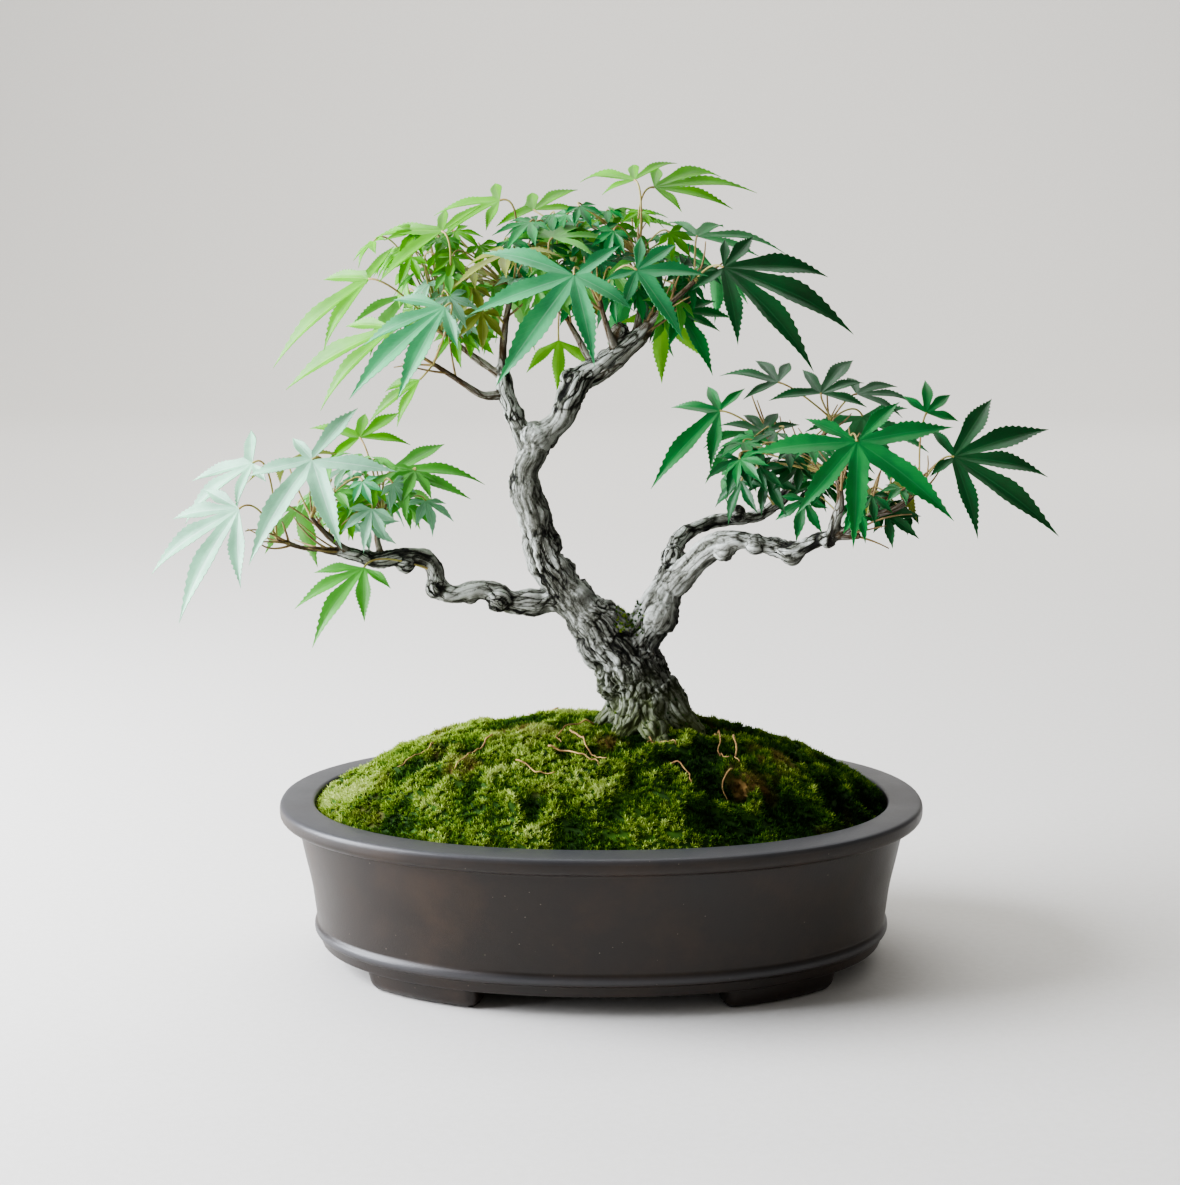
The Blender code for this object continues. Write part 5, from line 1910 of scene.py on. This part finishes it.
    def shoot(self) -> tuple[np.ndarray, np.ndarray, np.ndarray]:
        """Model one shoot, five leaflets round a stem, and return its points, faces and heights.

        Returns:
            Points in metres, faces as rows of vertex numbers, and each point's height from 0 to 1.
        """
        leaflets = []
        deselect()
        for number in range(6):
            bpy.ops.mesh.primitive_cone_add(vertices=3, radius1=0.21, radius2=0.0, depth=1.0,
                                            location=(0.0, 0.0, 0.5), end_fill_type="NGON")
            leaflet = bpy.context.active_object
            bpy.ops.object.transform_apply(location=True, rotation=True, scale=True)
            tilt = 0.12 if number == 5 else 0.72
            turn = Matrix.Rotation(2.0 * math.pi * number / 5.0, 4, "Z")
            turn = turn @ Matrix.Rotation(tilt, 4, "Y")
            leaflet.data.transform(Matrix.Translation((0.0, 0.0, 0.05 * number)) @ turn)
            leaflets.append(leaflet)
        whole = join(leaflets, "moss_shoot_master")
        points = coordinates(whole) * MM
        faces = np.array([tuple(face.vertices) for face in whole.data.polygons])
        bpy.data.objects.remove(whole, do_unlink=True)
        rise = (points[:, 2] - points[:, 2].min()) / np.ptp(points[:, 2])
        return points, faces, rise

    def scatter(self) -> tuple[np.ndarray, np.ndarray, np.ndarray]:
        """Return where shoots stand, which way they point and how tall they are.

        Returns:
            Feet in millimetres, unit directions and heights in millimetres.
        """
        chance = np.random.default_rng(self.seed)
        half_length = OVAL_HALF_LENGTH - RIM_WIDTH - 1.5
        half_width = OVAL_HALF_WIDTH - RIM_WIDTH - 1.5
        x = chance.uniform(-half_length, half_length, self.shoots * 2)
        y = chance.uniform(-half_width, half_width, self.shoots * 2)
        inside = wall_share(x, y) < 0.985
        trunk_x = (x - self.trunk_place[0]) / self.trunk_reach[0]
        trunk_y = (y - self.trunk_place[1]) / self.trunk_reach[1]
        clear = np.hypot(trunk_x, trunk_y) > 0.9
        x, y = x[inside & clear][:self.shoots], y[inside & clear][:self.shoots]
        z = self.level(x, y)
        reach = 0.6
        slope_x = (self.level(x + reach, y) - self.level(x - reach, y)) / (2.0 * reach)
        slope_y = (self.level(x, y + reach) - self.level(x, y - reach)) / (2.0 * reach)
        up = np.stack([-slope_x * 0.8, -slope_y * 0.8, np.ones_like(x)], axis=1)
        up += chance.normal(0.0, 0.16, up.shape)
        up /= np.linalg.norm(up, axis=1, keepdims=True)
        size = self.shoot_height * chance.uniform(0.65, 1.25, len(x))
        return np.stack([x, y, z - 0.25], axis=1), up, size

    def plant(self, name: str, places: np.ndarray, ups: np.ndarray, sizes: np.ndarray,
              seed: int) -> bpy.types.Object:
        """Copy the shoot to every place and return the patch as one mesh.

        Args:
            name: The patch's name.
            places: Feet of the shoots, in millimetres.
            ups: Their directions.
            sizes: Their heights.
            seed: Picks their turns and shades.

        Returns:
            The patch.
        """
        points, faces, rise = self.master
        chance = np.random.default_rng(seed)
        count = len(places)
        spin = chance.uniform(0.0, 2.0 * math.pi, count)
        helper = np.stack([np.cos(spin), np.sin(spin), np.zeros(count)], axis=1)
        side = np.cross(ups, helper)
        side /= np.linalg.norm(side, axis=1, keepdims=True)
        other = np.cross(ups, side)
        scaled = points[None, :, :] * sizes[:, None, None]
        world = places[:, None, :] + scaled[:, :, 0:1] * side[:, None, :]
        world += scaled[:, :, 1:2] * other[:, None, :]
        world += scaled[:, :, 2:3] * ups[:, None, :]
        index = (faces[None, :, :] + (np.arange(count) * len(points))[:, None, None]).reshape(-1, 3)
        mesh = bpy.data.meshes.new(name)
        mesh.from_pydata((world.reshape(-1, 3) * MM).tolist(), [], index.tolist())
        patch = bpy.data.objects.new(name, mesh)
        bpy.context.scene.collection.objects.link(patch)
        shade = np.repeat(chance.uniform(-0.12, 0.16, count), len(points))
        # painted shade: shoots in the cushions' hollows are darker and those on the crests lighter
        crest = self.cushion(places[:, 0], places[:, 1]) - 0.6
        # lighter and yellower towards the left: partly sun-bleached tone, partly painted light from
        # the window side
        bleached_and_lit_side = np.clip(-places[:, 0] / 130.0 + 0.5 * value_noise(places, 30.0, Seed.SUNLIGHT),
                        -1.0, 1.0)
        # the shoots' colour value carries the painted hollow shade and the painted light on the
        # left
        growth = np.repeat(0.75 * crest + 0.3 * bleached_and_lit_side, len(points))
        store(patch, "shoot", np.clip(np.tile(rise, count) * 0.6 + 0.28 + shade + growth, 0.0, 1.0))
        dry = np.repeat(self.dryness(places), len(points))
        store(patch, "dry", dry * np.tile(0.5 + 0.5 * rise, count))
        close_and_orient(patch, 0.0000001)
        return patch

    def build_shoots(self, wood: bpy.types.Object) -> list[bpy.types.Object]:
        """Plant the mound in patches, and let moss creep up the trunk's foot and into its fork.

        Args:
            wood: The finished trunk and limbs.

        Returns:
            The patches.
        """
        self.master = self.shoot()
        places, ups, sizes = self.scatter()
        groups = np.array_split(np.argsort(places[:, 0]), self.patches)
        pieces = [self.plant(f"moss_shoots_{number + 1}", places[group], ups[group], sizes[group],
                             Seed.SHOOT_TURNS + number)
                  for number, group in enumerate(groups)]
        pieces.append(self.creeping(wood))
        return pieces

    def creeping(self, wood: bpy.types.Object) -> bpy.types.Object:
        """Plant small shoots on the bark: round the foot of the trunk and in its fork.

        Args:
            wood: The finished trunk and limbs.

        Returns:
            The patch.
        """
        chance = np.random.default_rng(self.seed + 1)
        points, outward = coordinates(wood), normals(wood)
        foot = np.clip((132.0 - points[:, 2]) / 24.0, 0.0, 1.0) * (points[:, 2] > 100.0)
        foot *= np.clip(0.55 + 0.5 * np.sign(points[:, 0] - 30.0)
                        + value_noise(points, 8.0, Seed.TRUNK_MOSS), 0.05, 1.0)
        fork = np.linalg.norm((points - np.array(self.fork_place)) / np.array(self.fork_reach),
                              axis=1) < 1.0
        weight = 0.07 * foot ** 2 + 0.11 * fork
        chosen = np.flatnonzero(chance.uniform(0.0, 1.0, len(points)) < weight)
        sizes = chance.uniform(0.9, 1.7, len(chosen))
        ups = outward[chosen] + np.array([0.0, 0.0, 0.4])
        ups /= np.linalg.norm(ups, axis=1, keepdims=True)
        return self.plant("moss_on_trunk", points[chosen] - outward[chosen] * 0.2, ups, sizes,
                          Seed.TRUNK_MOSS_TURNS)


@dataclass
class SurfaceRoots:
    """Fine pale roots that wander over the moss."""

    routes: dict[str, tuple[tuple[float, float], ...]] = field(default_factory=lambda: {
        "surface_root_left": ((-50, -22), (-55, -30), (-60, -40), (-66, -47)),
        "surface_root_front_left": ((-14, -27), (-8, -38), (-4, -48), (2, -55)),
        "surface_root_front": ((-24, -42), (-15, -46), (-7, -51), (-1, -57)),
        "surface_root_front_right": ((60, -20), (62, -27), (60, -36), (62, -45)),
    })
    strays: dict[str, tuple[tuple[float, float], ...]] = field(default_factory=lambda: {
        "stray_root_trunk": ((24, -22), (22, -27), (25, -33), (21, -39)),
        "stray_root_fork": ((24, -30), (30, -34), (33, -40)),
        "stray_root_right": ((58, -50), (54, -56), (55, -62)),
        "stray_root_far_left": ((-78, -8), (-84, -18), (-93, -26)),
        "stray_root_back": ((-20, 34), (-30, 42), (-36, 52)),
        "stray_root_crown": ((-4, -16), (-14, -22), (-20, -30), (-18, -38)),
        "stray_root_rim": ((-38, -50), (-30, -57), (-20, -60)),
        "stray_root_low_right": ((30, -48), (38, -55), (40, -63)),
        "stray_root_red": ((52, -14), (54, -24), (53, -34), (56, -44)),
    })

    def build(self, carpet: MossCarpet) -> dict[str, bpy.types.Object]:
        """Sweep each root over the moss, with small kinks.

        Args:
            carpet: The moss that the roots lie on.

        Returns:
            The roots by name.
        """
        made = {}
        for number, (name, route) in enumerate({**self.routes, **self.strays}.items()):
            fine = np.array(smooth_route(tuple((x, y, 0.0, 1.0) for x, y in route), 1.6))
            probe = fine[:, :3] + np.array([0.0, 0.0, 40.0 * number])
            fine[:, 0] += 1.1 * value_noise(probe, 4.0, Seed.ROOT_KINK_X)
            fine[:, 1] += 1.1 * value_noise(probe, 4.0, Seed.ROOT_KINK_Y)
            arch = np.sin(np.linspace(0.0, math.pi * 2.0, len(fine))) * 0.7
            fine[:, 2] = carpet.level(fine[:, 0], fine[:, 1]) + 2.9 + arch
            fine[:, 3] = np.linspace(1.0, 0.5, len(fine)) * (1.0 if number < 4 else 0.85)
            made[name] = tube("visible_" + name, [tuple(row) for row in fine], 8)
            bpy.ops.object.shade_smooth()
        return made


# ---------------------------------------------------------------- studio

@dataclass(frozen=True)
class SoftLight:
    """One rectangular soft light: its place and aim in metres, and its power in watts."""

    name: str
    place: tuple[float, float, float]
    aim: tuple[float, float, float]
    size: tuple[float, float]
    power: float
    colour: str


LIGHTS = (
    SoftLight("key_window", (-1.25, -0.1, 0.62), (0.02, 0.0, 0.17), (1.0, 1.2), 92.0, "#F2F6FF"),
    SoftLight("fill_front", (0.5, -1.7, 1.2), (0.0, 0.0, 0.15), (1.6, 1.2), 3.0, "#FFF6EC"),
    SoftLight("top_soft", (-0.2, 0.4, 1.9), (0.0, 0.0, 0.1), (1.6, 1.6), 18.0, "#FFFFFF"),
    SoftLight("wall_wash", (0.0, 2.0, 3.2), (0.0, 4.8, 0.2), (5.0, 1.2), 230.0, "#FFFFFF"),
)


@dataclass
class Studio:
    """Pale sweep, soft window-like key light from the left, and the camera, in metres."""

    camera_place: tuple[float, float, float] = (-0.0052, -0.9867, 0.3265)
    camera_dip: float = 0.1553
    lens: float = 65.47
    floor_half_width: float = 12.0
    floor_front: float = -14.0
    floor_back: float = 3.4
    sweep_radius: float = 2.4
    sweep_steps: int = 24
    wall_rise: float = 3.0
    sky: str = "#E6E8EA"
    sky_strength: float = 0.26
    contrast: str = "AgX - Medium High Contrast"

    def build(self) -> None:
        """Set the floor, lights, surroundings and camera."""
        self.floor()
        for light in LIGHTS:
            self.lamp(light)
        world = bpy.data.worlds.new("studio")
        world.use_nodes = True
        background = world.node_tree.nodes["Background"]
        background.inputs["Color"].default_value = linear(self.sky)
        background.inputs["Strength"].default_value = self.sky_strength
        bpy.context.scene.world = world
        bpy.context.scene.view_settings.look = self.contrast
        self.camera()

    def floor(self) -> None:
        """Model the floor as a sheet whose back edge is rolled up into a wall."""
        deselect()
        bpy.ops.mesh.primitive_plane_add(size=1.0)
        floor = bpy.context.active_object
        floor.name = "studio_floor"
        for vertex in floor.data.vertices:
            x = self.floor_half_width if vertex.co.x > 0 else -self.floor_half_width
            y = self.floor_back if vertex.co.y > 0 else self.floor_front
            vertex.co = (x, y, 0.0)
        bpy.ops.object.mode_set(mode="EDIT")
        bpy.ops.mesh.select_all(action="DESELECT")
        bpy.ops.mesh.select_mode(type="EDGE")
        bpy.ops.object.mode_set(mode="OBJECT")
        for edge in floor.data.edges:
            edge.select = all(floor.data.vertices[index].co.y > 0.0 for index in edge.vertices)
        bpy.ops.object.mode_set(mode="EDIT")
        for step in range(self.sweep_steps):
            turn = math.pi / 2.0 * (step + 0.5) / self.sweep_steps
            length = self.sweep_radius * math.pi / 2.0 / self.sweep_steps
            bpy.ops.mesh.extrude_edges_move(TRANSFORM_OT_translate={
                "value": (0.0, length * math.cos(turn), length * math.sin(turn))})
        up = (0.0, 0.0, self.wall_rise)
        bpy.ops.mesh.extrude_edges_move(TRANSFORM_OT_translate={"value": up})
        bpy.ops.object.mode_set(mode="OBJECT")
        bpy.ops.object.shade_smooth()
        floor.data.materials.append(STUDIO_PAPER.material())

    def lamp(self, light: SoftLight) -> None:
        """Hang one soft light and turn it to its aim.

        Args:
            light: The light's plan.
        """
        data = bpy.data.lights.new(light.name, "AREA")
        data.shape = "RECTANGLE"
        data.size, data.size_y = light.size
        data.energy = light.power
        data.color = linear(light.colour)[:3]
        lamp = bpy.data.objects.new(light.name, data)
        bpy.context.scene.collection.objects.link(lamp)
        lamp.location = light.place
        aim = Vector(light.aim) - Vector(light.place)
        lamp.rotation_euler = aim.to_track_quat("-Z", "Y").to_euler()

    def camera(self) -> None:
        """Place the camera in front, just above the crown and dipped towards the pot."""
        data = bpy.data.cameras.new("view")
        data.lens = self.lens
        data.sensor_width = 36.0
        camera = bpy.data.objects.new("view", data)
        bpy.context.scene.collection.objects.link(camera)
        camera.location = self.camera_place
        camera.rotation_euler = (math.pi / 2.0 - self.camera_dip, 0.0, 0.0)
        bpy.context.scene.camera = camera


# ---------------------------------------------------------------- assembly

def dress_hidden_pieces() -> None:
    """Finish the CAD pieces that keep their shape: what lies in and under the pot."""
    finishes = {"soil": SOIL, "grit_layer": GRIT, "drainage_mesh_left": MESH_PLASTIC,
                "drainage_mesh_right": MESH_PLASTIC, "mesh_wire_left": WIRE,
                "mesh_wire_right": WIRE}
    for node, finish in finishes.items():
        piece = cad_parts[node]
        piece.data.materials.clear()
        piece.data.materials.append(shared(finish.name, finish.material))
        LOG.info("finished %s as %s", node, finish.name)


def main() -> None:
    """Build the bonsai from the pot up, then the studio."""
    logging.basicConfig(level=logging.INFO, format="%(message)s")
    pot = OvalPot()
    pot_piece = pot.build()
    pot_piece.name = "oval_pot"
    dress(pot_piece, [pot.finish.material()])
    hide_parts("pot")
    LOG.info("pot built")
    wood = MapleWood()
    wood_piece = wood.build()
    dress(wood_piece, [wood.finish.material()])
    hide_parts("trunk_and_branches")
    LOG.info("wood built with %d faces", len(wood_piece.data.polygons))
    carpet = MossCarpet()
    mat = carpet.build_mat()
    dress(mat, [carpet.finish.material(ground=True)])
    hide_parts("moss")
    shoots = carpet.finish.material()
    for patch in carpet.build_shoots(wood_piece):
        dress(patch, [shoots])
        LOG.info("%s planted with %d faces", patch.name, len(patch.data.polygons))
    root_skin = ROOT_SKIN.material()
    surface = SurfaceRoots()
    for name, root in surface.build(carpet).items():
        dress(root, [root_skin])
        if name in surface.routes:
            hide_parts(name)
        LOG.info("%s laid", name)
    for name, plan in LEAVES.items():
        leaf = MapleLeaf("visible_" + name, plan).build()
        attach(leaf, BODY)
        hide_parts(name)
        LOG.info("%s grown with %d faces", name, len(leaf.data.polygons))
    foliage = InnerFoliage()
    for piece in foliage.build():
        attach(piece, BODY)
        LOG.info("%s grown with %d faces", piece.name, len(piece.data.polygons))
    twiglets = foliage.build_twiglets()
    dress(twiglets, [TWIGLET_SKIN.material()])
    LOG.info("twiglets grown with %d faces", len(twiglets.data.polygons))
    dress_hidden_pieces()
    Studio().build()


if __name__ == "__main__":
    main()
